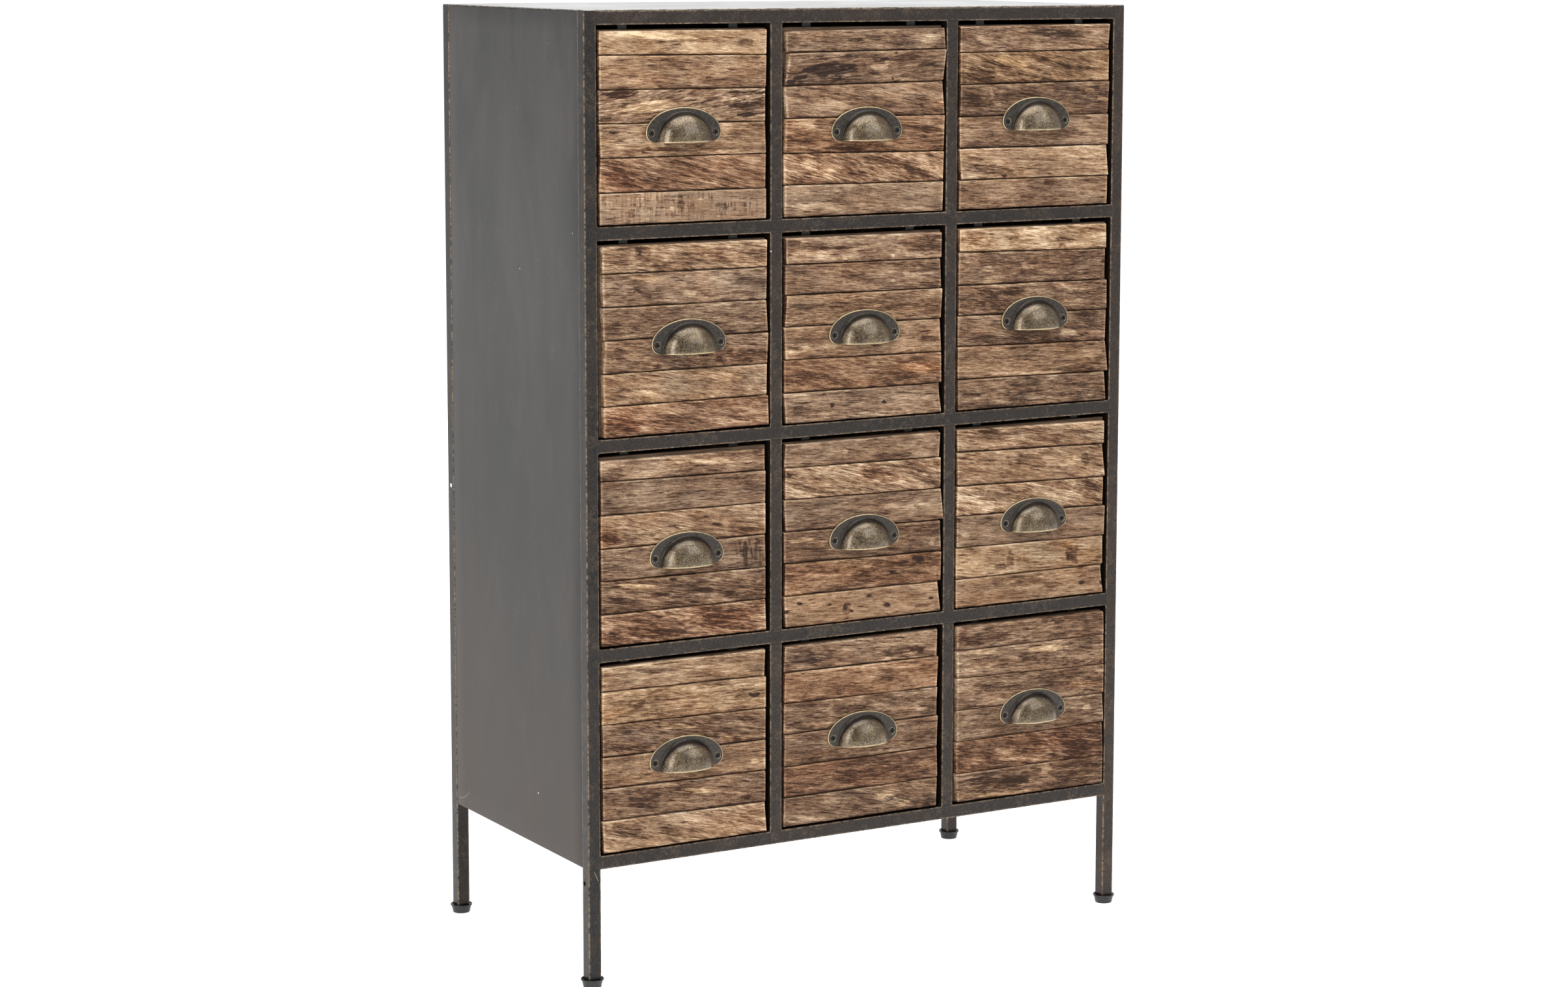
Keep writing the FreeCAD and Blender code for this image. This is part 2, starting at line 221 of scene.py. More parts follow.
def cutWith(mesh, cutters, smoothAngle):
    # takes closed cutters out of a closed mesh
    target = addObject("target", mesh)
    tools = [addObject("tool", cutter) for cutter in cutters]
    for tool in tools:
        cut = target.modifiers.new("cut", "BOOLEAN")
        cut.operation, cut.solver, cut.object = "DIFFERENCE", "EXACT", tool
    evaluated = target.evaluated_get(bpy.context.evaluated_depsgraph_get())
    made = bpy.data.meshes.new_from_object(evaluated)
    for each in [target] + tools:
        bpy.data.objects.remove(each)
    return smoothed(made, smoothAngle)


def place(name, mesh, material, body, slotName, *nodes):
    # a piece is given as its mesh, or as the shells to make it from
    if isinstance(mesh, list):
        mesh = makeMesh(name, mesh)
    piece = addObject(name, mesh)
    mesh.materials.clear()
    mesh.materials.append(material)
    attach(piece, body)
    if nodes:
        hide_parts(*nodes)
    return piece


# shader making

class Shader:
    # the nodes of a new material, or of a world
    def __init__(self, name, world=None):
        self.material = world or bpy.data.materials.new(name)
        self.material.use_nodes = True
        self.tree = self.material.node_tree
        self.surface = self.tree.nodes["Background" if world else "Principled BSDF"]
        self.x = 0

    def add(self, kind, inputs=(), **settings):
        made = self.tree.nodes.new("ShaderNode" + kind)
        self.x -= 40
        made.location = (self.x, self.x % 700)
        for key, value in settings.items():
            setattr(made, key, value)
        for key, value in dict(inputs).items():
            self.feed(made.inputs[key], value)
        return made

    def feed(self, socket, value):
        if isinstance(value, bpy.types.NodeSocket):
            self.tree.links.new(value, socket)
        else:
            socket.default_value = value

    def set(self, **inputs):
        for key, value in inputs.items():
            words = "".join(" " + c if c.isupper() else c for c in key).strip()
            self.feed(self.surface.inputs[words.replace("Specular", "Specular IOR Level")], value)

    def place(self):
        return self.add("TexCoord").outputs["Object"]

    def attribute(self, name, output="Fac"):
        return self.add("Attribute", attribute_name=name).outputs[output]

    def stretch(self, vector, x, y, z):
        return self.add("VectorMath", {0: vector, 1: (x, y, z)}, operation="MULTIPLY").outputs[0]

    def noise(self, vector, scale=1.0, detail=2.0, roughness=0.5, distortion=0.0):
        inputs = {"Vector": vector, "Scale": scale, "Detail": detail, "Roughness": roughness,
                  "Distortion": distortion}
        return self.add("TexNoise", inputs).outputs["Fac"]

    def math(self, operation, a, b=0.0, c=0.0, clamp=False):
        return self.add("Math", {0: a, 1: b, 2: c}, operation=operation, use_clamp=clamp).outputs[0]

    def sum(self, *parts):
        total = parts[0]
        for part in parts[1:]:
            total = self.math("ADD", total, part)
        return total

    def times(self, a, b, clamp=False):
        return self.math("MULTIPLY", a, b, clamp=clamp)

    def scaled(self, a, factor, b):
        return self.math("MULTIPLY_ADD", a, factor, b)

    def band(self, value, middle, inner, outer):
        # one nearer to the middle than inner, none farther than outer
        return self.window(self.math("ABSOLUTE", self.math("SUBTRACT", value, middle)), inner, outer, 1, 0)

    def dot(self, vector, direction):
        return self.add("VectorMath", {0: vector, 1: direction}, operation="DOT_PRODUCT").outputs["Value"]

    def distance(self, vector, centre):
        return self.add("VectorMath", {0: vector, 1: centre}, operation="DISTANCE").outputs["Value"]

    def near(self, vector, centre, radius):
        # one inside a ball, none outside
        return self.window(self.distance(vector, centre), 0.6 * radius, radius, 1, 0)

    def window(self, value, low, high, outLow=0.0, outHigh=1.0):
        # smooth step from one value to another
        made = self.add("MapRange", {"Value": value, "From Min": low, "From Max": high,
                                     "To Min": outLow, "To Max": outHigh}, interpolation_type="SMOOTHSTEP")
        return made.outputs["Result"]

    def ramp(self, value, stops):
        made = self.add("ValToRGB", {"Fac": value})
        band = made.color_ramp
        while len(band.elements) < len(stops):
            band.elements.new(0.5)
        for element, (position, colour) in zip(band.elements, stops):
            element.position = position
            element.color = (*colour, 1)
        return made.outputs["Color"]

    def mix(self, factor, a, b, blend="MIX"):
        made = self.add("Mix", data_type="RGBA", blend_type=blend)
        for socket, value in ((made.inputs[0], factor), (made.inputs[6], a), (made.inputs[7], b)):
            self.feed(socket, (*value, 1) if isinstance(value, tuple) else value)
        return made.outputs[2]

    def bump(self, height, distance, strength=1.0):
        made = self.add("Bump", {"Height": height, "Distance": distance, "Strength": strength})
        self.feed(self.surface.inputs["Normal"], made.outputs[0])


# materials

# blemishes read from the photograph, in mm: one chip on the left mullion's edge and one scratch on the front left
# leg; three pale dots and one curved scratch on the left side sheet
blemishes = {
    "chip": ((-121.4, -171.4, 803.6), 1.3),
    "legScratch": ((-343.4, 131.7), (-337.9, 119.9)),   # its two ends, across and up
    "legFront": (-171, -170),   # it shows in front of this depth only
    "dots": ((-9.4, 781.6, 0.9), (-141.8, 830.7, 0.8), (-45.0, 193.4, 1.3)),   # back, up and radius
    "arcCentre": (167.5, 179.7), "arcRadius": 37, "arcPart": ((153, 148), 19),
    "halfWidth": (0.15, 0.5),   # of both scratches: full inside the first, gone outside the second
    "sideX": -70,   # the left sheet after its across value is shrunk to a fifth, so that depth hardly counts
}
scratchHalf = [w * mm for w in blemishes["halfWidth"]]


def frameSteel():
    # dark gunmetal lacquer, rubbed through to tan and brass along the edges and in worm-like specks
    s = Shader("frame_steel_look")
    here = s.place()
    grain = s.noise(here, 1500, 3, 0.6)
    cloud = s.noise(here, 26, 3, 0.6)
    base = s.ramp(grain, [(0.30, (0.006, 0.0062, 0.0063)), (0.5, (0.0185, 0.0178, 0.0172)),
                          (0.70, (0.055, 0.049, 0.045))])
    brown = s.math("MULTIPLY_ADD", s.attribute("rust"), 0.7, s.window(cloud, 0.44, 0.74, 0, 0.45), clamp=True)
    base = s.mix(brown, base, s.ramp(grain, [(0.30, (0.016, 0.011, 0.008)), (0.5, (0.046, 0.033, 0.026)),
                                             (0.70, (0.115, 0.083, 0.064))]))
    worm = s.band(s.noise(here, 420, 2, 0.5, 1.6), 0.5, 0.0, 0.024)
    cluster = s.window(s.noise(here, 34, 2, 0.5), 0.47, 0.64)
    speck = s.window(s.noise(here, 1050, 1, 0.4), 0.60, 0.70)
    marks = s.math("MAXIMUM", s.times(worm, cluster), s.times(speck, s.scaled(cluster, 0.6, 0.3)))
    marks = s.times(marks, s.window(s.noise(here, 190, 1), 0.42, 0.6))
    base = s.mix(s.times(marks, 0.6), base, (0.28, 0.20, 0.13))
    chip, size = blemishes["chip"]
    base = s.mix(s.near(here, [c * mm for c in chip], size * mm), base, (0.80, 0.79, 0.77))
    start, end = (Vector((x * mm, 0, z * mm)) for x, z in blemishes["legScratch"])
    run, length = (end - start).normalized(), (end - start).length
    across = Vector((-run.z, 0, run.x))
    scratch = s.times(s.band(s.dot(here, across), start.dot(across), *scratchHalf),
                      s.band(s.dot(here, run), (start + end).dot(run) / 2, 0.4 * length, 0.5 * length))
    scratch = s.times(scratch, s.window(s.dot(here, (0, 1, 0)), *(y * mm for y in blemishes["legFront"]), 1, 0))
    base = s.mix(s.times(scratch, 0.7), base, (0.34, 0.31, 0.26))
    broken = s.window(s.noise(here, 150, 3, 0.7), 0.34, 0.60, 0.08, 1.0)
    bare = s.ramp(s.noise(here, 300, 2), [(0.35, (0.17, 0.108, 0.062)), (0.65, (0.36, 0.27, 0.185))])
    base = s.mix(s.times(s.attribute("wear"), broken, True), base, bare)
    s.set(BaseColor=base, Metallic=0.8, Roughness=s.window(grain, 0.3, 0.7, 0.34, 0.52), CoatWeight=0.2,
          CoatRoughness=0.32)
    s.bump(s.sum(s.times(grain, 0.5), s.times(marks, 0.3)), 0.00022, 0.55)
    return s.material


def sheetSteel(name, dark, light):
    # satin lacquered sheet with soft upright clouding and a fine orange-peel grain, darker and browner below
    s = Shader(name)
    here = s.place()
    cloud = s.noise(s.stretch(here, 9, 9, 3.2), 1, 4, 0.62, 0.5)
    warm = s.noise(s.stretch(here, 30, 34, 12), 1, 3, 0.6)
    grain = s.noise(here, 1300, 2, 0.6)
    base = s.mix(s.window(cloud, 0.32, 0.70), dark, light)
    warmer = tuple(c * f for c, f in zip(light, (1.12, 0.93, 0.86)))
    base = s.mix(s.window(warm, 0.45, 0.75, 0, 0.5), base, warmer)
    base = s.mix(s.window(grain, 0.3, 0.7, 0, 0.35), base, tuple(c * 0.55 for c in dark))
    base = s.mix(s.window(s.noise(here, 260, 1), 0.75, 0.77, 0, 0.25), base, (0.42, 0.37, 0.31))
    height = s.dot(here, (0, 0, 1))
    base = s.mix(s.window(height, 0.80, 0.45), base, (0.62, 0.59, 0.56), "MULTIPLY")
    base = s.mix(s.window(height, 0.55, 0.15), base, (1.06, 0.84, 0.72), "MULTIPLY")
    left = s.stretch(here, 0.2, 1, 1)

    def onSide(y, z):
        return [c * mm for c in (blemishes["sideX"], y, z)]

    for y, z, size in blemishes["dots"]:
        base = s.mix(s.near(left, onSide(y, z), size * mm), base, (0.80, 0.80, 0.79))
    ring = s.band(s.distance(left, onSide(*blemishes["arcCentre"])), blemishes["arcRadius"] * mm, *scratchHalf)
    middle, reach = blemishes["arcPart"]
    ring = s.times(ring, s.near(left, onSide(*middle), reach * mm))
    base = s.mix(s.times(ring, 0.6), base, (0.40, 0.38, 0.35))
    broken = s.window(s.noise(here, 120, 3, 0.7), 0.36, 0.6, 0.25, 1)
    base = s.mix(s.times(s.attribute("wear"), broken, True), base, (0.44, 0.39, 0.33))
    s.set(BaseColor=base, Metallic=0.88, Roughness=s.window(cloud, 0.3, 0.7, 0.40, 0.50), CoatWeight=0.25,
          CoatRoughness=0.30)
    s.bump(grain, 0.0001, 0.4)
    return s.material


def bareSteel():
    # dull rolled steel of the runners and straps
    s = Shader("bare_steel_look")
    here = s.place()
    scale = s.noise(s.stretch(here, 60, 22, 60), 1, 4, 0.65)
    grain = s.noise(here, 1200, 2)
    base = s.ramp(s.scaled(grain, 0.35, s.times(scale, 0.7)),
                  [(0.3, (0.030, 0.032, 0.030)), (0.55, (0.075, 0.078, 0.070)), (0.8, (0.14, 0.135, 0.12))])
    s.set(BaseColor=base, Metallic=0.8, Roughness=s.window(scale, 0.3, 0.7, 0.38, 0.6))
    s.bump(grain, 0.0001, 0.4)
    return s.material


def boardWood():
    # old boards: grain follows the piece's own grain attribute, and every board sets its tone and figure
    s = Shader("reclaimed_wood_look")
    grain = s.attribute("grain", "Vector")

    def fibres(along, across, deep, detail=2, roughness=0.5, distortion=0.0):
        return s.noise(s.stretch(grain, along, across, deep), 1, detail, roughness, distortion)

    # four sizes of streak from broad to fine: repeats a metre along and across the grain, and weight
    parts = []
    for along, across, weight in ((13, 70, 0.22), (38, 330, 0.24), (110, 1050, 0.34), (28, 50, 0.14)):
        streak = s.window(fibres(along, across, across * 0.6, 3, 0.6, 0.15), 0.33, 0.67)
        parts.append(s.scaled(streak, weight, -weight / 2))
    level = s.scaled(s.sum(*parts), s.attribute("figure"), s.sum(s.attribute("tone"), 0.41))
    # a mark's weight is broken up along the grain, so that it ends in ragged streaks
    stroke = s.attribute("stroke")
    size = s.math("ABSOLUTE", stroke)
    ragged = s.window(s.scaled(size, 1.4, fibres(45, 340, 200, 4, 0.65, 0.2)), 0.60, 0.70)
    push = s.times(s.math("DIVIDE", stroke, s.sum(size, 0.05)), 0.29)
    level = s.scaled(push, ragged, level)
    speckle = fibres(700, 1100, 1100, 2, 0.6)
    fleck = fibres(46, 480, 290, 2, 0.5, 0.2)
    level = s.sum(level, s.scaled(speckle, 0.5, -0.25), s.window(fleck, 0.62, 0.70, 0, 0.18),
                  s.window(fleck, 0.39, 0.31, 0, -0.34))
    sawn = s.window(s.noise(s.stretch(s.place(), 330, 60, 60), 1, 3, 0.6), 0.40, 0.66, 0.06, -0.40)
    patchy = s.window(fibres(30, 160, 100), 0.40, 0.60, 0.15, 1)
    # the worn attribute adds painted highlight along upper edges and ends, and painted shade along lower edges and
    # end faces
    level = s.sum(level, s.times(s.times(sawn, patchy), s.attribute("saw")), s.times(s.attribute("worn"), 0.19))
    base = s.ramp(level, [(0.05, (0.036, 0.018, 0.011)), (0.27, (0.128, 0.069, 0.040)),
                          (0.50, (0.276, 0.168, 0.101)), (0.74, (0.485, 0.335, 0.212)),
                          (1.0, (0.79, 0.61, 0.44))])
    base = s.mix(s.window(level, 0.35, 0.80, 1.0, 0.45), base, s.attribute("tint", "Color"), "MULTIPLY")
    pore = s.window(fibres(240, 2900, 1500, 1), 0.60, 0.72)
    base = s.mix(s.times(pore, 0.45), base, (0.045, 0.026, 0.017))
    split = s.times(s.band(fibres(17, 150, 90, 3, 0.6), 0.5, 0.010, 0.032), s.attribute("crack"), True)
    base = s.mix(s.times(split, 0.92), base, (0.016, 0.010, 0.008))
    blot = s.window(s.scaled(fibres(170, 420, 300, 3, 0.6), 0.9, s.attribute("blot")), 0.72, 0.86)
    base = s.mix(s.times(blot, 0.85), base, (0.028, 0.016, 0.012))
    medium, fine = parts[1:3]
    s.set(BaseColor=base, Roughness=s.window(fine, -0.2, 0.2, 0.60, 0.80), Specular=0.12)
    relief = s.sum(s.times(medium, 0.5), s.times(fine, 0.5), s.times(split, -1.2), s.times(pore, -0.3))
    s.bump(relief, 0.00055, 0.7)
    return s.material


def boxWood(name, dark, light):
    # plain sawn softwood, oiled, with the grain along each board's grain attribute
    s = Shader(name)
    grain = s.attribute("grain", "Vector")
    rings = s.noise(s.stretch(grain, 5, 75, 75), 1, 2, 0.5, 0.9)
    waves = s.math("SINE", s.times(rings, 58))
    fine = s.noise(s.stretch(grain, 60, 1500, 1500), 1, 3)
    level = s.sum(s.times(waves, 0.16), s.times(fine, 0.5), s.times(rings, 0.5))
    base = s.mix(s.window(level, 0.2, 0.8), dark, light)
    knot = s.window(s.noise(s.stretch(grain, 14, 30, 30), 1, 1), 0.72, 0.80)
    base = s.mix(s.times(knot, 0.6), base, tuple(c * 0.35 for c in dark))
    s.set(BaseColor=base, Roughness=0.66, Specular=0.3)
    s.bump(s.sum(fine, s.times(waves, 0.2)), 0.0003, 0.5)
    return s.material


def antiqueBrass():
    # dark bronze flange, mottled olive brass dome, and edges rubbed to pale gold
    s = Shader("antique_brass_look")
    here = s.place()
    scratches = []
    for turn, repeats in (((0.3, 0.9, 0.2), (300, 900, 1900)), ((-0.4, -0.7, 0.5), (1900, 900, 300))):
        turned = s.add("Mapping", {"Vector": here, "Rotation": turn}).outputs[0]
        scratches.append(s.window(s.noise(s.stretch(turned, *repeats), 1, 2, 0.6, 0.4), 0.56, 0.68))
    scratch = s.math("MAXIMUM", *scratches)
    mottle = s.noise(here, 620, 4, 0.72)
    cloud = s.noise(here, 75, 2, 0.5)
    dome = s.ramp(s.scaled(mottle, 0.75, s.times(cloud, 0.25)),
                  [(0.36, (0.038, 0.026, 0.017)), (0.50, (0.118, 0.085, 0.052)), (0.62, (0.33, 0.245, 0.138))])
    dome = s.mix(s.times(scratch, 0.25), dome, (0.48, 0.38, 0.25))
    flange = s.ramp(mottle, [(0.3, (0.027, 0.023, 0.021)), (0.5, (0.048, 0.041, 0.037)),
                             (0.72, (0.105, 0.086, 0.064))])
    flange = s.mix(s.times(scratch, 0.14), flange, (0.30, 0.26, 0.19))
    base = s.mix(s.attribute("dome"), flange, dome)
    # painted shade: the crease at the dome's foot and the inside of the cup are darkened nearly to black
    base = s.mix(s.times(s.attribute("crease"), 0.75), base, (0.018, 0.016, 0.014))
    broken = s.window(s.noise(here, 230, 3, 0.6), 0.32, 0.55, 0.65, 1)
    base = s.mix(s.times(s.attribute("rim"), broken, True), base, (0.60, 0.47, 0.27))
    s.set(BaseColor=base, Metallic=0.85, Roughness=s.window(mottle, 0.3, 0.7, 0.28, 0.42),
          CoatWeight=s.scaled(s.attribute("dome"), 0.6, 0.1), CoatRoughness=0.15)
    s.bump(s.sum(s.times(mottle, 0.5), s.times(scratch, 0.35)), 0.00012, 0.5)
    return s.material


def darkMetal(name, low, high, metallic, rough):
    # blackened steel of screws and nails, or black plastic where it isn't metallic
    s = Shader(name)
    here = s.place()
    grain = s.noise(here, 1400, 3, 0.6)
    base = s.mix(s.window(grain, 0.35, 0.7), low, high)
    chip = s.window(s.noise(here, 520, 1), 0.70, 0.74)
    base = s.mix(s.times(chip, 0.6), base, tuple(min(1, 4 * c) for c in high))
    s.set(BaseColor=base, Metallic=metallic, Roughness=s.window(grain, 0.3, 0.7, rough - 0.06, rough + 0.08))
    s.bump(grain, 0.0001, 0.4)
    return s.material


def paleFloor():
    # plain pale floor that stays near white under the chest
    s = Shader("pale_floor")
    tone = s.noise(s.place(), 3, 2)
    base = s.mix(tone, (0.60, 0.60, 0.60), (0.63, 0.63, 0.63))
    s.set(BaseColor=base, Roughness=0.9, EmissionColor=(1, 1, 1, 1), EmissionStrength=0.84)
    return s.material


steelLook = frameSteel()
sheetLook = sheetSteel("sheet_steel_look", (0.046, 0.0443, 0.0425), (0.104, 0.099, 0.0935))
bareLook = bareSteel()
boardLook = boardWood()
boxLook = boxWood("box_wood_look", (0.30, 0.185, 0.10), (0.56, 0.39, 0.24))
backingLook = boxWood("backing_wood_look", (0.075, 0.046, 0.028), (0.16, 0.10, 0.062))
brassLook = antiqueBrass()
screwLook = darkMetal("screw_steel_look", (0.018, 0.017, 0.017), (0.055, 0.052, 0.050), 0.8, 0.42)
nailLook = darkMetal("nail_steel_look", (0.012, 0.010, 0.009), (0.035, 0.030, 0.026), 0.6, 0.5)
footLook = darkMetal("foot_plastic_look", (0.010, 0.010, 0.010), (0.022, 0.022, 0.023), 0.0, 0.36)
plugLook = darkMetal("pale_plug_look", (0.70, 0.70, 0.69), (0.86, 0.86, 0.85), 0.0, 0.5)
print("materials made")


# steel frame

tubeForm = {
    "cornerRadius": 1.0 * mm,
    "wearWidth": 0.9 * mm,    # rubbed band on each side of a corner
    "station": 24 * mm,
    "edgeWear": 0.75,         # how much of the lacquer is gone along an ordinary edge
    "frontLeftWear": 0.85,    # the edge that everyone brushes against
    "weldHalf": (1.25 * mm, tube / 2 - 0.6 * mm),   # half width and half length of a flush weld
    "weldProud": 0.03 * mm,
    "weldDeep": 0.9 * mm,
    "weldBead": 1.5 * mm,     # leg of the fillet in each inner corner of an opening
    "beadEnds": (0.55 * mm, tube - 0.3 * mm),
    "rustRight": 0.9, "rustLeft": 0.15, "rustTopRail": 0.6, "rustRail": 0.35, "rustMullion": 0.65, "rustRear": 0.3,
}


def quarters(halfA, halfB, radius, steps):
    # quarter circles round the corners (+,+) (-,+) (-,-) (+,-) of a rectangle, one outline in all
    turn = np.linspace(0, math.pi / 2, steps)
    return np.vstack([np.stack([sa * (halfA - radius) + radius * np.cos(k * math.pi / 2 + turn),
                                sb * (halfB - radius) + radius * np.sin(k * math.pi / 2 + turn)], 1)
                      for k, (sa, sb) in enumerate(((1, 1), (-1, 1), (-1, -1), (1, -1)))])


def roundedSquare(side, radius, band, strengths):
    # a square outline with quarter-circle corners, plus a point at each band's end; strengths go by corner
    outline, wear = [], []
    half = side / 2
    for corner, (sx, sy) in enumerate(((-1, -1), (1, -1), (1, 1), (-1, 1))):
        start = math.pi + corner * math.pi / 2
        angles = start + np.linspace(0, math.pi / 2, 5)
        arc = np.stack([sx * (half - radius) + radius * np.cos(angles),
                        sy * (half - radius) + radius * np.sin(angles)], 1)
        before = arc[0] - band * np.array([-math.sin(start), math.cos(start)])
        after = arc[-1] + band * np.array([-math.sin(angles[-1]), math.cos(angles[-1])])
        outline += [before, *arc, after]
        wear += [0] + [strengths[corner] * w for w in (0.55, 0.9, 1, 0.9, 0.55)] + [0]
    return np.array(outline), np.array(wear)


def tubeRun(start, length, along, strengths=(1, 1, 1, 1), rust=0.0):
    # the rounded square carried in a straight line along x or z; corners go (-a,-b) (+a,-b) (+a,+b) (-a,+b)
    outline, wear = roundedSquare(tube, tubeForm["cornerRadius"], tubeForm["wearWidth"], strengths)
    count = max(3, int(round(length / tubeForm["station"])) + 1)
    t = np.linspace(0, length, count)[:, None]
    a, b = outline.T[:, None, :] + tube / 2
    order = {"z": (a, b, t), "x": (t, a, b)}[along]
    points = spread(*(start[i] + order[i] for i in range(3)))
    return loft(points, wear=np.tile(wear * tubeForm["edgeWear"], count), rust=float(rust))


def weldStrip(centreX, centreZ, along):
    # a flush filler over the groove where two tubes meet in front: half an ellipse across, tapering at its ends
    halfWide, halfLong = tubeForm["weldHalf"]
    u = np.linspace(-1, 1, 9)[:, None]
    v = np.linspace(0, 2 * math.pi, 13)[None, :-1]
    high = np.where(np.sin(v) > 0, tubeForm["weldProud"], tubeForm["weldDeep"])
    out = high * np.sin(v) * np.sqrt(1 - 0.9 * u ** 4)
    across, run = halfWide * np.cos(v), halfLong * u
    x, z = (across, run) if along == "z" else (run, across)
    return loft(spread(centreX + x, frontY - out, centreZ + z), rust=0.2)


def cornerBead(x, z, sx, sz):
    # a hollow fillet in an opening's inner corner, carried from front to back
    leg = tubeForm["weldBead"]
    turn = np.linspace(0, math.pi / 2, 5)
    hollow = np.stack([leg * (1 - np.sin(turn)), leg * (1 - np.cos(turn))], 1)
    outline = np.vstack([[[-0.3 * mm, -0.3 * mm]], hollow])
    y = frontY + np.linspace(*tubeForm["beadEnds"], 8)
    return loft(spread(x + sx * outline[None, :, 0], y[:, None], z + sz * outline[None, :, 1]), rust=0.35, wear=0.15)


postX = (-width / 2, width / 2 - tube)
postY = (frontY, rearY - tube)
posts = []
for x in postX:
    for y in postY:
        worn = tubeForm["frontLeftWear"] if x < 0 and y < 0 else 1
        strengths = (worn, 1, 0.6, 0.8 if x < 0 else 0.5)
        posts.append(tubeRun((x, y, postLow[2]), postHigh[2] - postLow[2], "z", strengths,
                             tubeForm["rustRight" if x > 0 else "rustLeft"]))

# two drilled holes in the left wall: back, up and width in mm; the rear one is closed with a pale plug
drilled = {"rear": (180.9, 512.0, 6.0), "leg": (-161.6, 117.0, 5.0)}
plugSlack = 0.45 * mm


def sidePeg(y, z, radius, x0, x1):
    # a cylinder along x, its ends given from the left wall
    angle = np.arange(24) / 24 * 2 * math.pi
    x = np.array([x0, x1])[:, None] - width / 2
    return loft(spread(x, y * mm + radius * np.cos(angle), z * mm + radius * np.sin(angle)))


drills = [makeMesh("drill", [sidePeg(y, z, size / 2 * mm, -1 * mm, 6 * mm)]) for y, z, size in drilled.values()]
place("post_tubes", cutWith(makeMesh("post_tubes", posts), drills, 38), steelLook, "root", "frame_steel",
      "corner_posts")
y, z, size = drilled["rear"]
plug = sidePeg(y, z, size / 2 * mm - plugSlack, 0.3 * mm, 5 * mm)
place("hole_plug", [plug], plugLook, "root", "foot_plastic")

# rails and mullions; along x the outline's corners go front-low, rear-low, rear-high, front-high
innerLeft, innerWidth = -width / 2 + tube, width - 2 * tube
halfTube = tube / 2
rails = [tubeRun((innerLeft, frontY, z), innerWidth, "x", (1, 0.4, 0.4, 1),
                 tubeForm["rustTopRail" if i == 4 else "rustRail"]) for i, z in enumerate(railHeights)]
mullions, beads = [], []
for row, column in openings:
    left, top = openingLeft(column), openingTop(row)
    if column:
        mullions.append(tubeRun((left - tube, frontY, top - openingHeight), openingHeight, "z",
                                (0.9, 1, 0.4, 0.4), tubeForm["rustMullion"]))
    beads += [cornerBead(x, z, sx, sz) for x, sx in ((left, 1), (left + openingWidth, -1))
              for z, sz in ((top, -1), (top - openingHeight, 1))]
strips = [weldStrip(x, z + halfTube, "z") for z in railHeights for x in (innerLeft, innerLeft + innerWidth)]
for column in (1, 2):
    x = openingLeft(column) - halfTube
    strips += [weldStrip(x, z, "x") for z in railHeights[1:]]
    strips += [weldStrip(x, z + tube, "x") for z in railHeights[:-1]]
place("rail_tubes", rails, steelLook, "root", "frame_steel", "front_rails")
place("mullion_tubes", mullions, steelLook, "root", "frame_steel", "front_mullions")
place("ground_welds", strips + beads, steelLook, "root", "frame_steel")

rearForm = ((0.3,) * 4, tubeForm["rustRear"])
rear = [tubeRun((innerLeft, rearLow[1], z), innerWidth, "x", *rearForm) for z in (rearLow[2], rearHigh[2] - tube)]
rear += [tubeRun((openingLeft(c) - tube, rearLow[1], rearLow[2] + tube), rearHigh[2] - rearLow[2] - 2 * tube, "z",
                 *rearForm) for c in (1, 2)]
place("rear_tubes", rear, steelLook, "root", "frame_steel", "rear_frame")
print("frame tubes made")


# sheet steel skins

skinForm = {
    "bend": 1.4 * mm, "fold": 11 * mm, "sheet": 1.2 * mm, "foldWear": 0.55,
    "buckle": 0.22 * mm,   # how far the flat of a side sheet strays
    "waves": ((0.14, 0.23, 5, 1), (0.06, 0.11, 6, 0.5)),   # length across and up, seed and share
    "calm": 30 * mm,       # it stays flat this near its edges
    "edge": 0.4 * mm,      # rounding of a plate's edges
    "corners": {"top_panel": 2.3 * mm, "back_panel": 0.8 * mm, "bottom_panel": 0.8 * mm},
}


def foldedPath(length, bend, fold, flats):
    # distance along the sheet and inset from its face: fold, quarter turn, flat, quarter turn, fold
    turn = np.linspace(0, math.pi / 2, 6)
    into = np.stack([bend * (1 - np.sin(turn[::-1])), bend * (1 - np.cos(turn[::-1]))], 1)
    flat = np.stack([np.linspace(bend, length - bend, flats), np.zeros(flats)], 1)[1:-1]
    out = np.stack([length - into[::-1, 0], into[::-1, 1]], 1)
    path = np.vstack([[[0, fold]], into, flat, out, [[length, fold]]])
    kind = np.array([1] + [0] * (len(path) - 2) + [1])
    worn = np.zeros(len(path))
    worn[2:5] = worn[-5:-2] = 1
    return path[:, 0], path[:, 1], kind, worn


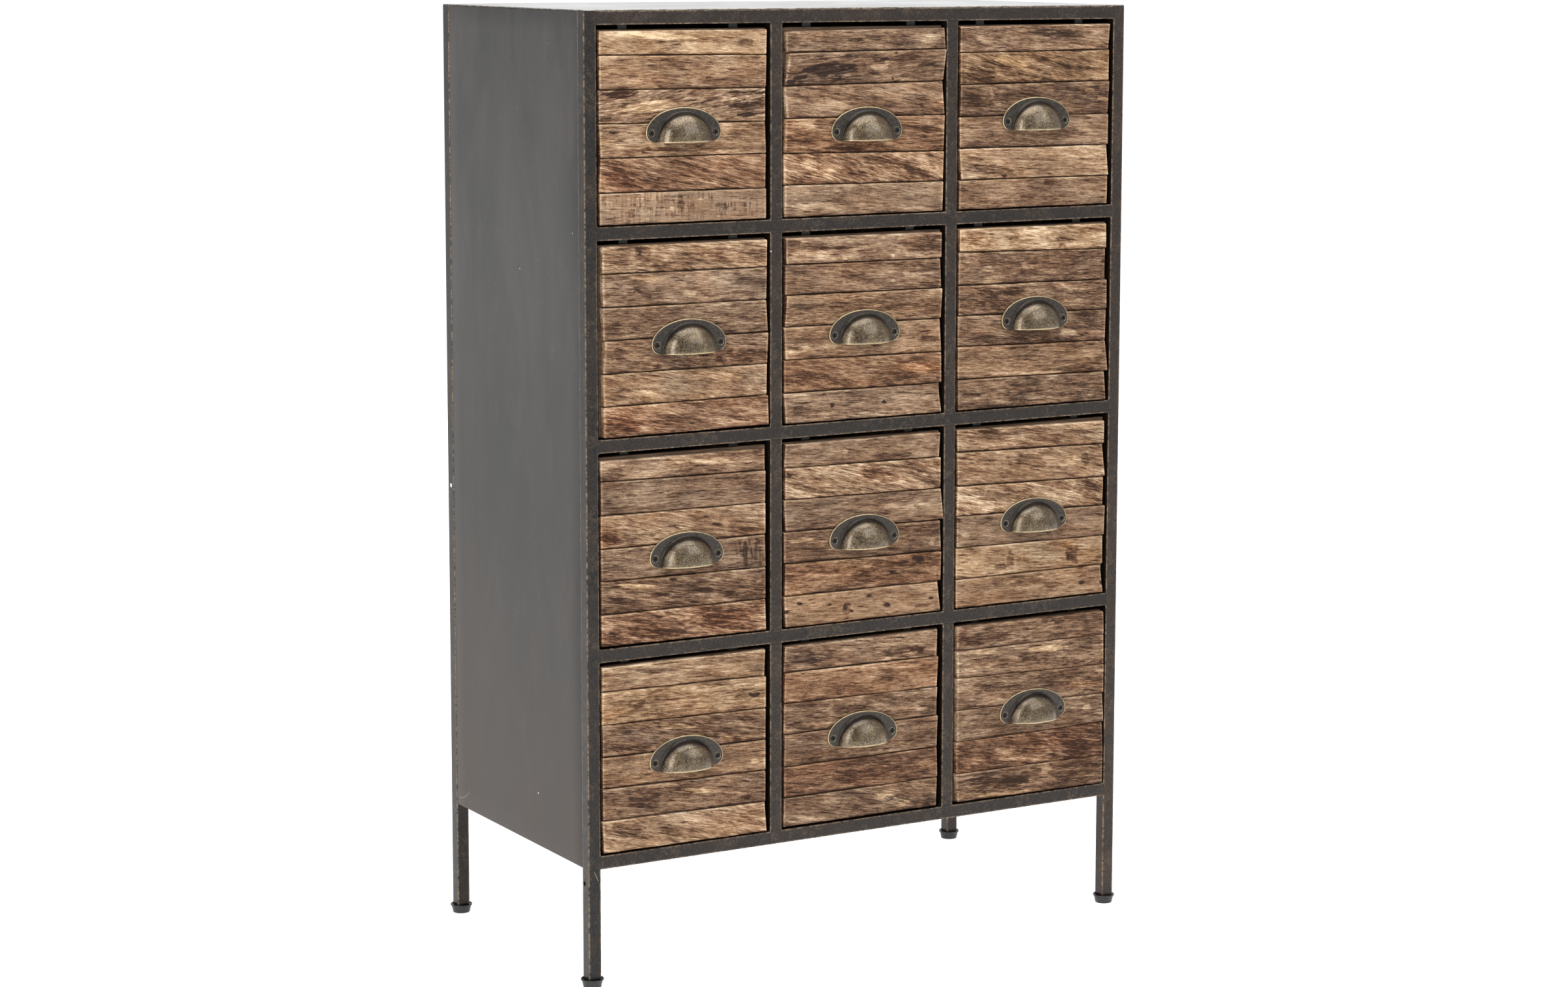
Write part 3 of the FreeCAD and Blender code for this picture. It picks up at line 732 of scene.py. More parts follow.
def sideSkin(node, side):
    low, high = span(node)
    y, insetY, endY, wornY = foldedPath(high[1] - low[1], skinForm["bend"], skinForm["fold"], 16)
    z, insetZ, endZ, wornZ = foldedPath(high[2] - low[2], skinForm["bend"], skinForm["fold"], 40)
    across, up = np.meshgrid(y, z, indexing="ij")
    inset = insetY[:, None] + insetZ[None, :]
    buckle = sum(share * softNoise(across / wide, up / tall, seed) for wide, tall, seed, share in skinForm["waves"])
    fade = 1.0
    for gap in (across, high[1] - low[1] - across, up, high[2] - low[2] - up):
        fade = fade * ease(gap, 0, skinForm["calm"])
    inset = inset + (inset == 0) * skinForm["buckle"] * (1 + buckle) * fade
    outer = high[0] if side > 0 else low[0]
    faces = gridFaces(*across.shape)
    corner = (endY[:, None] * endZ[None, :]).ravel() > 0
    bent = ((insetY[:, None] > 0) & (insetZ[None, :] > 0)).ravel()
    faces = faces[~(corner[faces].any(1) | bent[faces].all(1))]
    if side > 0:
        faces = faces[:, ::-1]
    wear = skinForm["foldWear"] * np.maximum(wornY[:, None], wornZ[None, :])
    made = shell(spread(outer - side * inset, low[1] + across, low[2] + up), [faces], wear=wear.ravel())
    piece = place(node + "_skin", makeMesh(node + "_skin", [made], 30, closed=False), sheetLook, "root",
                  "sheet_steel", node)
    wall = piece.modifiers.new("wall", "SOLIDIFY")
    wall.thickness = skinForm["sheet"]
    wall.offset = -1


def roundedPlate(low, high, corner, edge):
    # outlines of a rounded rectangle, drawn in by the quarter circles of its edges, one above another
    thick = np.array(high - low)
    flat = int(np.argmin(thick))
    a, b = [i for i in range(3) if i != flat]
    profile = [(edge * (1 - math.sin(t)), edge * (1 - math.cos(t))) for t in np.linspace(0, math.pi / 2, 5)]
    rim = profile + [(inset, thick[flat] - up) for inset, up in profile]
    rim.sort(key=lambda level: level[1])
    # the wear stops a little way in from the edge
    levels = [(edge + 1.5 * mm, 0), *rim, (edge + 1.5 * mm, thick[flat])]
    rings = []
    for inset, up in levels:
        ring = quarters(thick[a] / 2 - inset, thick[b] / 2 - inset, max(corner - inset, 0.05 * mm), 7)
        point = np.zeros((len(ring), 3)) + (low + high) / 2
        point[:, a] += ring[:, 0]
        point[:, b] += ring[:, 1]
        point[:, flat] = low[flat] + up
        rings.append(point)
    worn = [0] + [1 if 0 < up < thick[flat] else 0.35 for _, up in rim] + [0]
    return loft(np.stack(rings), wear=np.repeat(worn, len(rings[0])))


sideSkin("left_side_panel", -1)
sideSkin("right_side_panel", 1)
for node, corner in skinForm["corners"].items():
    made = roundedPlate(*span(node), corner, skinForm["edge"])
    place(node + "_plate", makeMesh(node + "_plate", [made], 50), sheetLook, "root", "sheet_steel", node)
print("skins made")


# foot caps

capForm = {"lip": 2.0 * mm, "dish": 1.2 * mm, "dishDepth": 1.4 * mm, "round": 0.55 * mm, "socketSlack": 0.1 * mm,
           "socketFloor": 3 * mm, "taper": 2.75 * mm}


def footCap(x, y, radius, footRadius, height):
    # rings from the rim of the square socket out over the lip and down the taper; they turn from square to round
    n = 48
    angle = np.arange(n) / n * 2 * math.pi + math.pi / n
    square = (halfTube + capForm["socketSlack"]) / np.maximum(abs(np.cos(angle)), abs(np.sin(angle)))
    r, lip, dish, deep = (capForm[k] for k in ("round", "lip", "dish", "dishDepth"))
    arc = np.linspace(0, math.pi / 2, 4)
    lipInner = radius - dish
    profile = [(0.0, capForm["socketFloor"]), (0.0, height - deep - r), (r * 0.4, height - deep)]
    profile += [(lipInner - 0.4 * mm, height - deep), (lipInner, height - r)]
    profile += [(lipInner + r * math.sin(t), height - r + r * math.sin(t)) for t in arc[1:3]]
    profile += [(radius - r + r * math.sin(t), height - r + r * math.cos(t)) for t in arc]
    profile += [(radius - r + r * math.cos(t), height - lip + r - r * math.sin(t)) for t in arc]
    profile += [(radius - dish, height - lip - 0.5 * mm), (footRadius, r * 1.6)]
    profile += [(footRadius - r + r * math.cos(t), r - r * math.sin(t)) for t in arc]
    ring, z = (np.array(v)[:, None] for v in zip(*profile))
    ring = ring + square * (np.arange(len(profile))[:, None] < 3)
    return loft(spread(x + ring * np.cos(angle), y + ring * np.sin(angle), z))


capLow, capHigh = span("foot_caps")
capRadius = postLow[0] + halfTube - capLow[0]
caps = [footCap(x + halfTube, y + halfTube, capRadius, capRadius - capForm["taper"], capHigh[2])
        for x in postX for y in postY]
place("leg_caps", makeMesh("leg_caps", caps, 32), footLook, "root", "foot_plastic", "foot_caps")
print("foot caps made")


# runners and stop straps

runnerForm = {"leg": 12 * mm, "thick": 1.5 * mm, "round": 0.4 * mm}
strapForm = {"width": 10.8 * mm, "inset": 33.4 * mm, "height": 25 * mm, "corner": 1.2 * mm, "edge": 0.35 * mm}
runnerLow, runnerHigh = span("drawer_runners")
strapLow, strapHigh = span("stop_straps")


def angleRunner(edge, side, z, y0, y1):
    # an L outline with a rounded heel and toes, carried along y; side is where the shelf points
    leg, thick, r = runnerForm.values()
    outline = np.array([(0, r), (r, 0), (leg - r, 0), (leg, r), (leg, thick - r), (leg - r, thick),
                        (thick + r, thick), (thick, thick + r), (thick, leg - r), (thick - r, leg),
                        (r, leg), (0, leg - r)])
    y = np.linspace(y0, y1, 12)[:, None]
    return loft(spread(edge - side * thick + side * outline[None, :, 0], y, z + outline[None, :, 1]))


runners, straps = [], []
for row, column in openings:
    left, floorZ = openingLeft(column), openingTop(row) - openingHeight
    right = left + openingWidth
    # a runner reaches the back beside a post, and the rear uprights elsewhere
    for x, side, outer in ((left, 1, column == 0), (right, -1, column == 2)):
        runners.append(angleRunner(x, side, floorZ, runnerLow[1], runnerHigh[1] if outer else rearLow[1]))
    low = openingTop(row) - openingTop(0) + strapHigh[2] - strapForm["height"]
    for x in (left + strapForm["inset"], right - strapForm["inset"] - strapForm["width"]):
        straps.append(roundedPlate(np.array([x, strapLow[1], low]),
                                   np.array([x + strapForm["width"], strapHigh[1], low + strapForm["height"]]),
                                   strapForm["corner"], strapForm["edge"]))
place("angle_runners", runners, bareLook, "root", "bare_steel", "drawer_runners")
place("drawer_stops", straps, bareLook, "root", "bare_steel", "stop_straps")
print("runners and straps made")


# drawer boxes

boxForm = {"side": 10 * mm, "sideClear": 3 * mm, "back": 10 * mm, "bottom": 4 * mm, "groove": 8 * mm,
           "sideDrop": 14 * mm, "backDrop": 12 * mm, "round": 0.8 * mm, "backingSide": 3.6 * mm,
           "backingTop": 5.2 * mm, "backingSlack": 0.5 * mm}


def plank(low, high, along, seed):
    # a board with rounded long edges: a rounded rectangle carried along its length, its ends slightly drawn in
    low, high = np.array(low, float), np.array(high, float)
    size, middle, length = high - low, (low + high) / 2, high[along] - low[along]
    first, second = [i for i in range(3) if i != along]
    outline = quarters(size[first] / 2, size[second] / 2, boxForm["round"], 4)
    t = np.concatenate([[0, 0.3 * mm], np.linspace(1 * mm, length - 1 * mm, 14), [length - 0.3 * mm, length]])
    inset = np.select([(t == 0) | (t == length), (t < 1 * mm) | (t > length - 1 * mm)], [0.6 * mm, 0.2 * mm], 0)
    scale = 1 - inset[:, None] / np.maximum(abs(outline).max(1), 1 * mm)[None, :]
    points = np.zeros((len(t), len(outline), 3))
    points[..., along] = low[along] + t[:, None]
    points[..., first] = middle[first] + outline[None, :, 0] * scale
    points[..., second] = middle[second] + outline[None, :, 1] * scale
    grain = points[..., [along, first, second]].reshape(-1, 3)
    return loft(points, grain=grain + seed * np.array([0.31, 0.47, 0.13]))


def drawerBox(drawer, row, column):
    # backing board behind the slats, two sides, a back and a thin bottom, each with its own grain
    f = boxForm
    low, high = span(drawer + "_drawer_box")
    left, top, rear = openingLeft(column), openingTop(row), high[1]
    right = left + openingWidth
    backingRear = frontY + tube - f["backingSlack"]
    x0, x1 = left + f["sideClear"], right - f["sideClear"]
    inner0, inner1 = x0 + f["side"], x1 - f["side"]
    groove, sideTop = low[2] + f["groove"], top - f["sideDrop"]
    shelf = groove + f["bottom"]
    seed = row * 3 + column
    backing = plank((left + f["backingSide"], low[1], low[2]),
                    (right - f["backingSide"], backingRear, top - f["backingTop"]), 0, seed)
    parts = [plank((x0, backingRear, low[2]), (inner0, rear, sideTop), 1, seed + 20),
             plank((inner1, backingRear, low[2]), (x1, rear, sideTop), 1, seed + 40),
             plank((inner0, rear - f["back"], shelf), (inner1, rear, top - f["backDrop"]), 0, seed + 60),
             plank((inner0, backingRear, groove), (inner1, rear, shelf), 0, seed + 80)]
    body = drawer + "_drawer"
    place(drawer + "_box_boards", parts, boxLook, body, "box_wood", drawer + "_drawer_box")
    place(drawer + "_backing", [backing], backingLook, body, "box_wood")


# reclaimed boards of the drawer fronts

boardForm = {
    "stations": 146,
    "heights": 25,         # points up the face of a board
    "joint": 1.3 * mm,     # open joint between two boards
    "flushJoint": 0.7 * mm,
    "leftShare": 1.2 * mm,   # added to how far each board's left end stops short
    "proud": 2.0 * mm,     # foremost board face in front of the steel
    "thick": 8.5 * mm,
    "uneven": 1.7 * mm,    # most that a board is set back behind the foremost
    "flushUneven": 0.2,    # share of that in a flush front
    "tilt": 0.7 * mm,
    "endRadius": 1.1 * mm,
    "edgeRadius": (0.5 * mm, 1.6 * mm),
    "radiusWave": 30 * mm,
    # wander of the lower and upper edges: height, length, row of the noise and step of its seed
    "lowWaves": ((0.28 * mm, 22 * mm, 0.3, 0), (0.12 * mm, 6 * mm, 0.7, 1)),
    "highWaves": ((0.28 * mm, 25 * mm, 0.1, 2), (0.12 * mm, 7 * mm, 0.4, 3)),
    # bands along the upper edge, the lower edge and the ends: full nearer than the first, gone past the second
    "upperBand": (0.7 * mm, 2.6 * mm), "lowerBand": (0.5 * mm, 2.0 * mm), "tipBand": (0.8 * mm, 3.2 * mm),
    "paintedLowerShade": -0.85,    # painted shade along the lower edges, under the board above
    # painted shade on the boards' end faces
    "paintedEndShade": 2.6,
    "hues": {"brown": (1.0, 1.0, 1.0), "tan": (1.03, 1.0, 0.94), "grey": (0.96, 0.99, 1.02),
             "red": (1.06, 0.955, 0.90), "gold": (1.05, 1.01, 0.89), "orange": (1.08, 0.975, 0.89)},
    "markTint": 0.6,       # how far a mark's own colour comes through
}

nailForm = {"inset": 3.5 * mm, "shares": (0.28, 0.74), "sunk": 0.12 * mm,
            "stray": 1.6, "radius": (0.5, 0.8)}   # these two in mm, for the dice

# kind of mark: change of tone, of figure, tint, and how much it counts as crack, saw mark or black
markKinds = {
    "light": (0.24, 0.0, (1.02, 1.0, 0.97), 0, 0, 0),
    "gold": (0.26, 0.1, (1.10, 1.02, 0.74), 0, 0, 0),
    "pale": (0.38, -0.3, (1.0, 0.99, 0.98), 0, 0, 0),
    "dark": (-0.24, 0.1, (1.0, 0.97, 0.95), 0, 0, 0),
    "red": (-0.07, 0.2, (1.11, 0.92, 0.86), 0, 0, 0),
    "orange": (0.08, 0.2, (1.22, 0.93, 0.66), 0, 0, 0),
    "grey": (-0.07, -0.2, (0.86, 0.98, 1.10), 0, 0, 0),
    "knot": (-0.30, 0.4, (1.05, 0.9, 0.85), 0.5, 0, 0.35),
    "spot": (-0.35, 0.0, (1, 1, 1), 0, 0, 0.8),
    "crack": (-0.10, 0.2, (1, 1, 1), 1.0, 0, 0),
    "saw": (0.05, -0.3, (1, 1, 1), 0, 1.0, 0),
}

# how far a mark stands back from the face, or out where negative
markRelief = {"knot": -0.25 * mm, "crack": 0.25 * mm, "spot": 0.3 * mm}

# every front, as read from the photograph: joints between its boards in mm below the opening's top at its
# left and right, then how far each board's ends stop short of the opening at upper left, lower left, upper right
# and lower right, then its boards from the top, each with tone, slope of the grain in degrees, strength of figure,
# hue and marks; a mark has its kind, its place across and up the board from 0 to 1, its half width and half height
# in mm, and strength; open ends get no painted shade on their end faces, and a flush front's boards lie nearly in
# one plane
fronts = {
    "top_left": {
        "joints": [(6, 6), (32, 34), (69, 70), (105, 107), (142, 142), (179, 180), (214, 214)],
        "ends": [(1.6, 1.4, 5.1, 5.4), (1.4, 1.5, 5.4, 6.4), (0.6, 1.1, 6.9, 7.1), (0.8, 2.1, 7.6, 6.4),
                 (2.3, 0.3, 6.1, 6.8), (0.9, 1.0, 6.0, 6.3)],
        "boards": [
            (0.17, -4, 0.9, "gold", [("gold", .34, .75, 60, 5, .9), ("crack", .45, .5, 22, 4, .9),
                ("grey", .84, .45, 16, 7, 1), ("dark", .84, .45, 13, 5, .7), ("crack", .24, .75, 14, 5, .6)]),
            (0.04, -3, 0.9, "tan", [("red", .32, .25, 38, 9, .8)]),
            (0.01, 6, 1.3, "brown", [("dark", .12, .88, 24, 5, .9), ("gold", .3, .5, 40, 7, 1),
                ("crack", .82, .7, 38, 10, 1), ("light", .8, .75, 30, 4, .9), ("spot", .94, .86, 9, 1.6, .8),
                ("spot", .79, .9, 7, 1.4, .8), ("spot", .86, .2, 15, 2.6, .8), ("dark", .83, .48, 24, 3, .9),
                ("dark", .1, .15, 20, 5, .8), ("spot", .06, .14, 8, 2, .6)]),
            (0.09, -3, 1.0, "tan", [("spot", .09, .75, 7, 3, .6), ("dark", .35, .22, 24, 3, .9),
                ("dark", .12, .5, 20, 6, .5), ("dark", .62, .15, 18, 3, .9)]),
            (0.0, -12, 1.1, "red", [("pale", .88, .82, 24, 5, .6), ("red", .13, .4, 32, 14, 1),
                ("dark", .12, .4, 26, 13, .5), ("dark", .48, .8, 20, 3, .8), ("light", .6, .3, 50, 6, .5)]),
            (0.10, -2, 0.6, "grey", [("saw", .5, .5, 110, 20, 1), ("grey", .7, .5, 18, 9, .8),
                ("spot", .7, .5, 6, 4, .4), ("pale", .43, .45, 4, 3, 1)]),
        ]},
    "top_middle": {
        "joints": [(9, 7), (33, 31), (69, 67), (105, 105), (143, 146), (178, 180), (214, 214)],
        "ends": [(3.2, 3.6, 3.5, 1.6), (7.0, 1.2, 1.2, 5.8), (0.7, 4.3, 6.3, 3.0), (2.5, 1.4, 2.8, 4.2),
                 (0.6, 0.3, 3.7, 4.6), (1.6, 1.4, 3.9, 4.6)],
        "openEnds": True,
        "boards": [
            (-0.04, -3, 0.9, "grey", [("light", .15, .6, 26, 5, .6), ("dark", .5, .5, 34, 6, .6),
                ("light", .88, .6, 28, 7, .9)]),
            (-0.10, 3, 0.9, "grey", [("grey", .25, .35, 36, 12, 1), ("spot", .05, .10, 8, 2.2, 1.3),
                ("spot", .10, .23, 8, 2.8, 1.4), ("spot", .16, .48, 9, 3, 1.4),
                ("spot", .25, .60, 14, 1.8, 1.2), ("spot", .38, .55, 15, 1.7, 1.2),
                ("crack", .30, .38, 30, 9, 1.8), ("light", .30, .22, 26, 2.5, 1.1),
                ("pale", .57, .5, 10, 5, 1.1), ("spot", .61, .76, 7, 1.7, 1), ("spot", .55, .3, 9, 1.4, .9),
                ("light", .62, .62, 5, 4, .8), ("spot", .68, .93, 1.5, 1.5, 1),
                ("spot", .66, .1, 1.5, 1.5, 1)]),
            (-0.03, -8, 1.0, "brown", [("orange", .96, .3, 8, 5, 1), ("dark", .85, .45, 10, 4, .9)]),
            (-0.04, -4, 1.1, "orange", [("dark", .15, .35, 30, 4, .8), ("light", .12, .8, 26, 5, .9),
                ("dark", .38, .12, 28, 3, 1), ("dark", .88, .6, 26, 7, .7), ("grey", .8, .5, 34, 14, .6)]),
            (0.04, -15, 1.35, "orange", [("dark", .8, .5, 34, 12, .35), ("gold", .2, .5, 40, 12, .35)]),
            (0.03, -5, 0.8, "grey", [("light", .2, .3, 34, 6, .7)]),
        ]},
    "top_right": {
        "joints": [(6, 5), (36, 35), (72, 71), (108, 109), (144, 145), (180, 181), (214, 214)],
        "ends": [(0.8, 0.3, 5.6, 8.0), (0.9, 1.2, 6.2, 6.4), (1.7, 0.3, 5.5, 7.9), (0.4, 0.8, 6.2, 6.4),
                 (0.3, 3.5, 9.0, 5.0), (0.3, 0.3, 6.8, 7.1)],
        "boards": [
            (-0.03, -4, 1.0, "brown", [("light", .18, .5, 16, 8, .9), ("grey", .65, .6, 58, 7, 1),
                ("dark", .65, .62, 50, 5, .5), ("light", .8, .1, 30, 3, .9)]),
            (-0.04, -11, 1.1, "gold", [("gold", .33, .72, 26, 5, 1), ("orange", .42, .5, 8, 3, 1),
                ("dark", .13, .3, 28, 8, .9), ("dark", .62, .6, 24, 6, .5)]),
            (-0.14, -5, 0.9, "grey", [("dark", .1, .5, 24, 12, .7), ("pale", .21, .72, 3, 7, .6),
                ("gold", .84, .72, 8, 2.5, 1), ("gold", .93, .45, 9, 3, 1)]),
            (-0.05, -3, 0.9, "brown", []),
            (0.16, -4, 0.9, "tan", [("crack", .18, .3, 32, 8, .9), ("dark", .2, .3, 34, 5, .9),
                ("spot", .3, .08, 5, 2.5, .9), ("dark", .1, .65, 18, 2.5, .8), ("dark", .6, .55, 20, 2, .7),
                ("dark", .85, .5, 16, 2, .7)]),
            (-0.01, -3, 0.9, "brown", [("red", .58, .8, 14, 6, .8), ("dark", .58, .9, 10, 4, .8)]),
        ]},
    "upper_left": {
        "joints": [(6, 6), (36, 37), (72, 73), (108, 109), (144, 144), (180, 179), (214, 213)],
        "ends": [(4.7, 4.7, 4.4, 4.6), (4.6, 5.1, 4.9, 5.7), (4.4, 5.1, 5.7, 3.6), (7.2, 4.8, 3.4, 4.5),
                 (4.9, 5.8, 4.6, 5.1), (5.4, 5.6, 3.3, 2.6)],
        "openEnds": True,
        "boards": [
            (0.05, -8, 1.2, "tan", [("dark", .25, .7, 10, 9, 1), ("spot", .24, .75, 4, 6, .6),
                ("red", .72, .5, 36, 10, .6), ("dark", .52, .6, 18, 4, .8), ("dark", .9, .5, 18, 6, .8)]),
            (0.03, -3, 1.0, "grey", [("gold", .27, .85, 28, 4, 1), ("light", .52, .3, 9, 4, 1),
                ("knot", .22, .55, 6, 4, .6), ("grey", .85, .5, 30, 12, 1), ("dark", .85, .6, 24, 5, .5)]),
            (-0.06, -3, 1.0, "grey", [("light", .6, .5, 50, 4, .6)]),
            (-0.09, -6, 1.1, "brown", [("red", .8, .3, 34, 8, .9), ("knot", .7, .2, 7, 4, .9),
                ("knot", .33, .12, 7, 3, .9)]),
            (0.05, -10, 1.0, "tan", [("gold", .25, .3, 26, 6, .7), ("gold", .7, .7, 30, 6, .6),
                ("grey", .47, .5, 22, 10, 1), ("grey", .9, .5, 22, 12, .9)]),
            (-0.02, -9, 1.1, "red", [("red", .15, .5, 30, 14, 1), ("dark", .15, .45, 26, 9, .8),
                ("light", .42, .7, 30, 4, .7), ("dark", .8, .4, 26, 6, .5), ("pale", .32, .98, 3, 2, 1)]),
        ]},
    "upper_middle": {
        "joints": [(6, 7), (36, 37), (70, 71), (105, 106), (142, 144), (179, 180), (214, 214)],
        "ends": [(2.0, 3.0, 6.0, 5.9), (1.6, 1.4, 7.6, 6.0), (3.6, 1.1, 4.6, 6.1), (0.3, 2.3, 7.4, 4.9),
                 (0.3, 0.9, 5.1, 4.2), (0.3, 2.5, 9.1, 4.4)],
        "boards": [
            (0.03, -4, 1.0, "brown", [("light", .15, .35, 32, 8, .9), ("dark", .06, .8, 14, 3, 1),
                ("dark", .32, .55, 30, 3, .8), ("light", .37, .15, 4, 3, 1), ("light", .67, .15, 4, 3, 1),
                ("dark", .82, .6, 36, 10, 1.1)]),
            (-0.07, -4, 0.9, "brown", [("light", .8, .5, 26, 4, .7), ("dark", .9, .12, 18, 3, 1),
                ("pale", .37, .35, 3, 2, .8), ("pale", .67, .3, 3, 2, .8)]),
            (-0.03, -3, 1.0, "tan", [("grey", .16, .65, 30, 6, 1), ("dark", .16, .65, 28, 4, .6),
                ("dark", .72, .45, 48, 4, .8), ("light", .5, .85, 90, 4, .5)]),
            (0.03, -3, 0.9, "tan", [("light", .15, .25, 28, 6, .7), ("crack", .08, .4, 10, 5, .9),
                ("dark", .9, .4, 14, 6, .8)]),
            (-0.08, -8, 1.0, "orange", [("orange", .82, .6, 30, 7, 1), ("light", .8, .6, 22, 4, .5)]),
            (0.02, -3, 0.9, "grey", [("light", .5, .12, 90, 5, .6), ("spot", .3, .5, 4, 3, .7),
                ("spot", .62, .5, 5, 3, .7)]),
        ]},
    "upper_right": {
        "joints": [(5, 6), (32, 36), (70, 72), (105, 107), (140, 144), (178, 180), (214, 214)],
        "ends": [(1.7, 1.7, 7.7, 7.1), (1.4, 0.6, 7.9, 9.6), (0.8, 1.1, 5.6, 5.1), (0.3, 0.5, 5.7, 6.6),
                 (0.3, 0.3, 6.8, 2.9), (0.3, 1.2, 8.2, 5.0)],
        "boards": [
            (0.18, -6, 1.1, "gold", [("red", .12, .5, 24, 12, .9), ("dark", .14, .4, 26, 9, .6),
                ("dark", .36, .5, 9, 9, .8), ("light", .52, .5, 20, 10, .7), ("knot", .68, .4, 12, 8, .6),
                ("dark", .86, .75, 22, 5, .8)]),
            (-0.06, -3, 1.0, "brown", [("light", .21, .5, 9, 4, 1), ("light", .45, .5, 12, 4, 1),
                ("spot", .96, .6, 7, 6, .5)]),
            (-0.09, -4, 1.1, "brown", [("dark", .2, .6, 38, 12, .8), ("light", .75, .8, 50, 4, 1)]),
            (-0.12, -8, 1.0, "brown", [("light", .72, .25, 20, 6, .9)]),
            (-0.06, -3, 1.0, "tan", [("pale", .5, .05, 100, 2, .8), ("dark", .3, .6, 40, 3, .6)]),
            (-0.11, -3, 1.0, "grey", [("light", .3, .2, 14, 4, 1)]),
        ]},
    "lower_left": {
        "joints": [(8, 8), (31, 33), (68, 69), (105, 105), (140, 142), (177, 178), (213, 214)],
        "ends": [(0.3, 0.3, 7.7, 7.4), (0.3, 0.3, 6.6, 7.4), (0.3, 0.3, 6.3, 6.6), (0.3, 0.3, 7.0, 6.6),
                 (0.3, 0.3, 6.6, 6.8), (0.3, 0.8, 6.8, 5.4)],
        "boards": [
            (0.02, -5, 1.0, "brown", [("dark", .1, .4, 16, 8, .8), ("gold", .6, .6, 60, 4, .7),
                ("dark", .95, .75, 12, 8, .8)]),
            (-0.03, -2, 0.85, "grey", [("grey", .5, .4, 26, 9, .9)]),
            (0.04, -10, 1.0, "tan", [("red", .07, .3, 18, 10, 1), ("dark", .07, .25, 16, 7, .8),
                ("crack", .44, .5, 16, 5, 1), ("dark", .28, .3, 14, 5, .6), ("spot", .68, .45, 6, 2, .8),
                ("dark", .9, .2, 20, 4, .9)]),
            (-0.03, -2, 0.9, "grey", [("dark", .85, .5, 4, 20, .8), ("dark", .91, .5, 3, 20, .8),
                ("grey", .85, .5, 24, 18, 1), ("saw", .87, .5, 24, 20, .8)]),
            (-0.12, -8, 1.1, "brown", [("gold", .2, .8, 30, 3.5, 1.2), ("spot", .42, .9, 5, 2, 1),
                ("dark", .13, .35, 20, 6, .8), ("dark", .34, .45, 16, 4, .9), ("spot", .36, .45, 8, 2, .5),
                ("dark", .62, .45, 14, 4, .9), ("dark", .75, .3, 12, 3, .8), ("spot", .55, .12, 8, 1.5, .6)]),
            (-0.01, -10, 1.25, "red", [("pale", .05, .7, 12, 10, .5), ("dark", .3, .4, 38, 10, .9),
                ("gold", .45, .7, 22, 3, .9), ("red", .74, .5, 46, 13, 1), ("dark", .74, .6, 42, 10, .7),
                ("light", .96, .3, 12, 6, .6)]),
        ]},
    "lower_middle": {
        "joints": [(6, 6), (33, 35), (69, 71), (105, 108), (141, 144), (178, 179), (214, 214)],
        "ends": [(2.5, 0.3, 5.3, 7.1), (1.8, 1.6, 4.9, 5.1), (0.4, 2.5, 4.2, 0.4), (0.3, 0.4, 5.3, 3.7),
                 (1.8, 1.1, 3.5, 4.2), (0.3, 2.4, 8.5, 4.2)],
        "boards": [
            (0.0, -4, 0.8, "grey", [("light", .38, .5, 5, 3, 1), ("dark", .68, .15, 30, 5, 1)]),
            (0.09, -14, 1.2, "tan", [("spot", .04, .8, 6, 3, .6), ("dark", .13, .35, 18, 5, .9),
                ("red", .6, .55, 36, 12, .9), ("dark", .55, .65, 22, 6, 1.1), ("dark", .7, .45, 20, 5, 1),
                ("dark", .4, .2, 20, 3, .8), ("dark", .95, .8, 10, 5, .9)]),
            (-0.04, -3, 0.85, "grey", [("light", .78, .5, 42, 3, .7), ("grey", .07, .5, 12, 12, .6)]),
            (-0.10, -3, 0.8, "brown", [("gold", .12, .7, 20, 4, .7), ("pale", .92, .25, 4, 3, .9)]),
            (-0.08, -4, 1.0, "orange", [("dark", .2, .7, 40, 3, .7), ("knot", .84, .8, 9, 4, 1.1),
                ("spot", .84, .8, 5, 2, .7), ("crack", .67, .4, 14, 3, 1), ("orange", .68, .75, 22, 5, .5)]),
            (0.05, -4, 0.7, "tan", [("spot", .1, .75, 6, 2.5, .9), ("spot", .28, .6, 5, 2, .8),
                ("dark", .39, .45, 6, 10, 1.2), ("spot", .385, .45, 3.5, 5, .8), ("spot", .42, .32, 4, 2.5, .8),
                ("spot", .53, .75, 4, 2, .8), ("spot", .64, .4, 5, 4, .9), ("spot", .92, .45, 5, 2.5, .8),
                ("spot", .02, .5, 4, 2, .8), ("dark", .88, .25, 20, 3, .7)]),
        ]},
    "lower_right": {
        "joints": [(6, 8), (32, 36), (71, 75), (106, 109), (143, 145), (180, 180), (214, 214)],
        "ends": [(0.6, 1.4, 6.1, 5.7), (0.3, 0.9, 9.4, 5.0), (1.0, 0.3, 7.3, 7.7), (0.3, 0.3, 4.4, 5.4),
                 (0.3, 0.3, 6.4, 6.2), (0.3, 0.3, 9.4, 5.2)],
        "boards": [
            (0.09, -9, 1.1, "tan", [("dark", .28, .8, 30, 4, 1), ("grey", .78, .55, 42, 8, .9),
                ("dark", .75, .6, 40, 4, .6), ("orange", .42, .3, 24, 4, .5)]),
            (0.06, -9, 0.9, "tan", [("dark", .5, .62, 24, 9, 1.1), ("spot", .43, .8, 8, 2, .5),
                ("gold", .75, .6, 16, 7, .6), ("dark", .84, .6, 7, 9, .9), ("spot", .67, .35, 5, 2, .5)]),
            (0.12, -14, 1.25, "tan", [("dark", .18, .7, 22, 3, .4), ("light", .15, .4, 34, 8, .8),
                ("dark", .88, .6, 28, 10, 1)]),
            (0.0, -3, 0.7, "grey", [("spot", .02, .9, 3, 2, 1), ("pale", .07, .4, 8, 4, .4)]),
            (0.15, -6, 0.9, "gold", [("dark", .36, .45, 7, 12, 1.3), ("knot", .3, .25, 10, 4, .9),
                ("grey", .6, .5, 24, 12, 1), ("orange", .74, .75, 10, 6, 1), ("dark", .77, .45, 9, 13, 1.2),
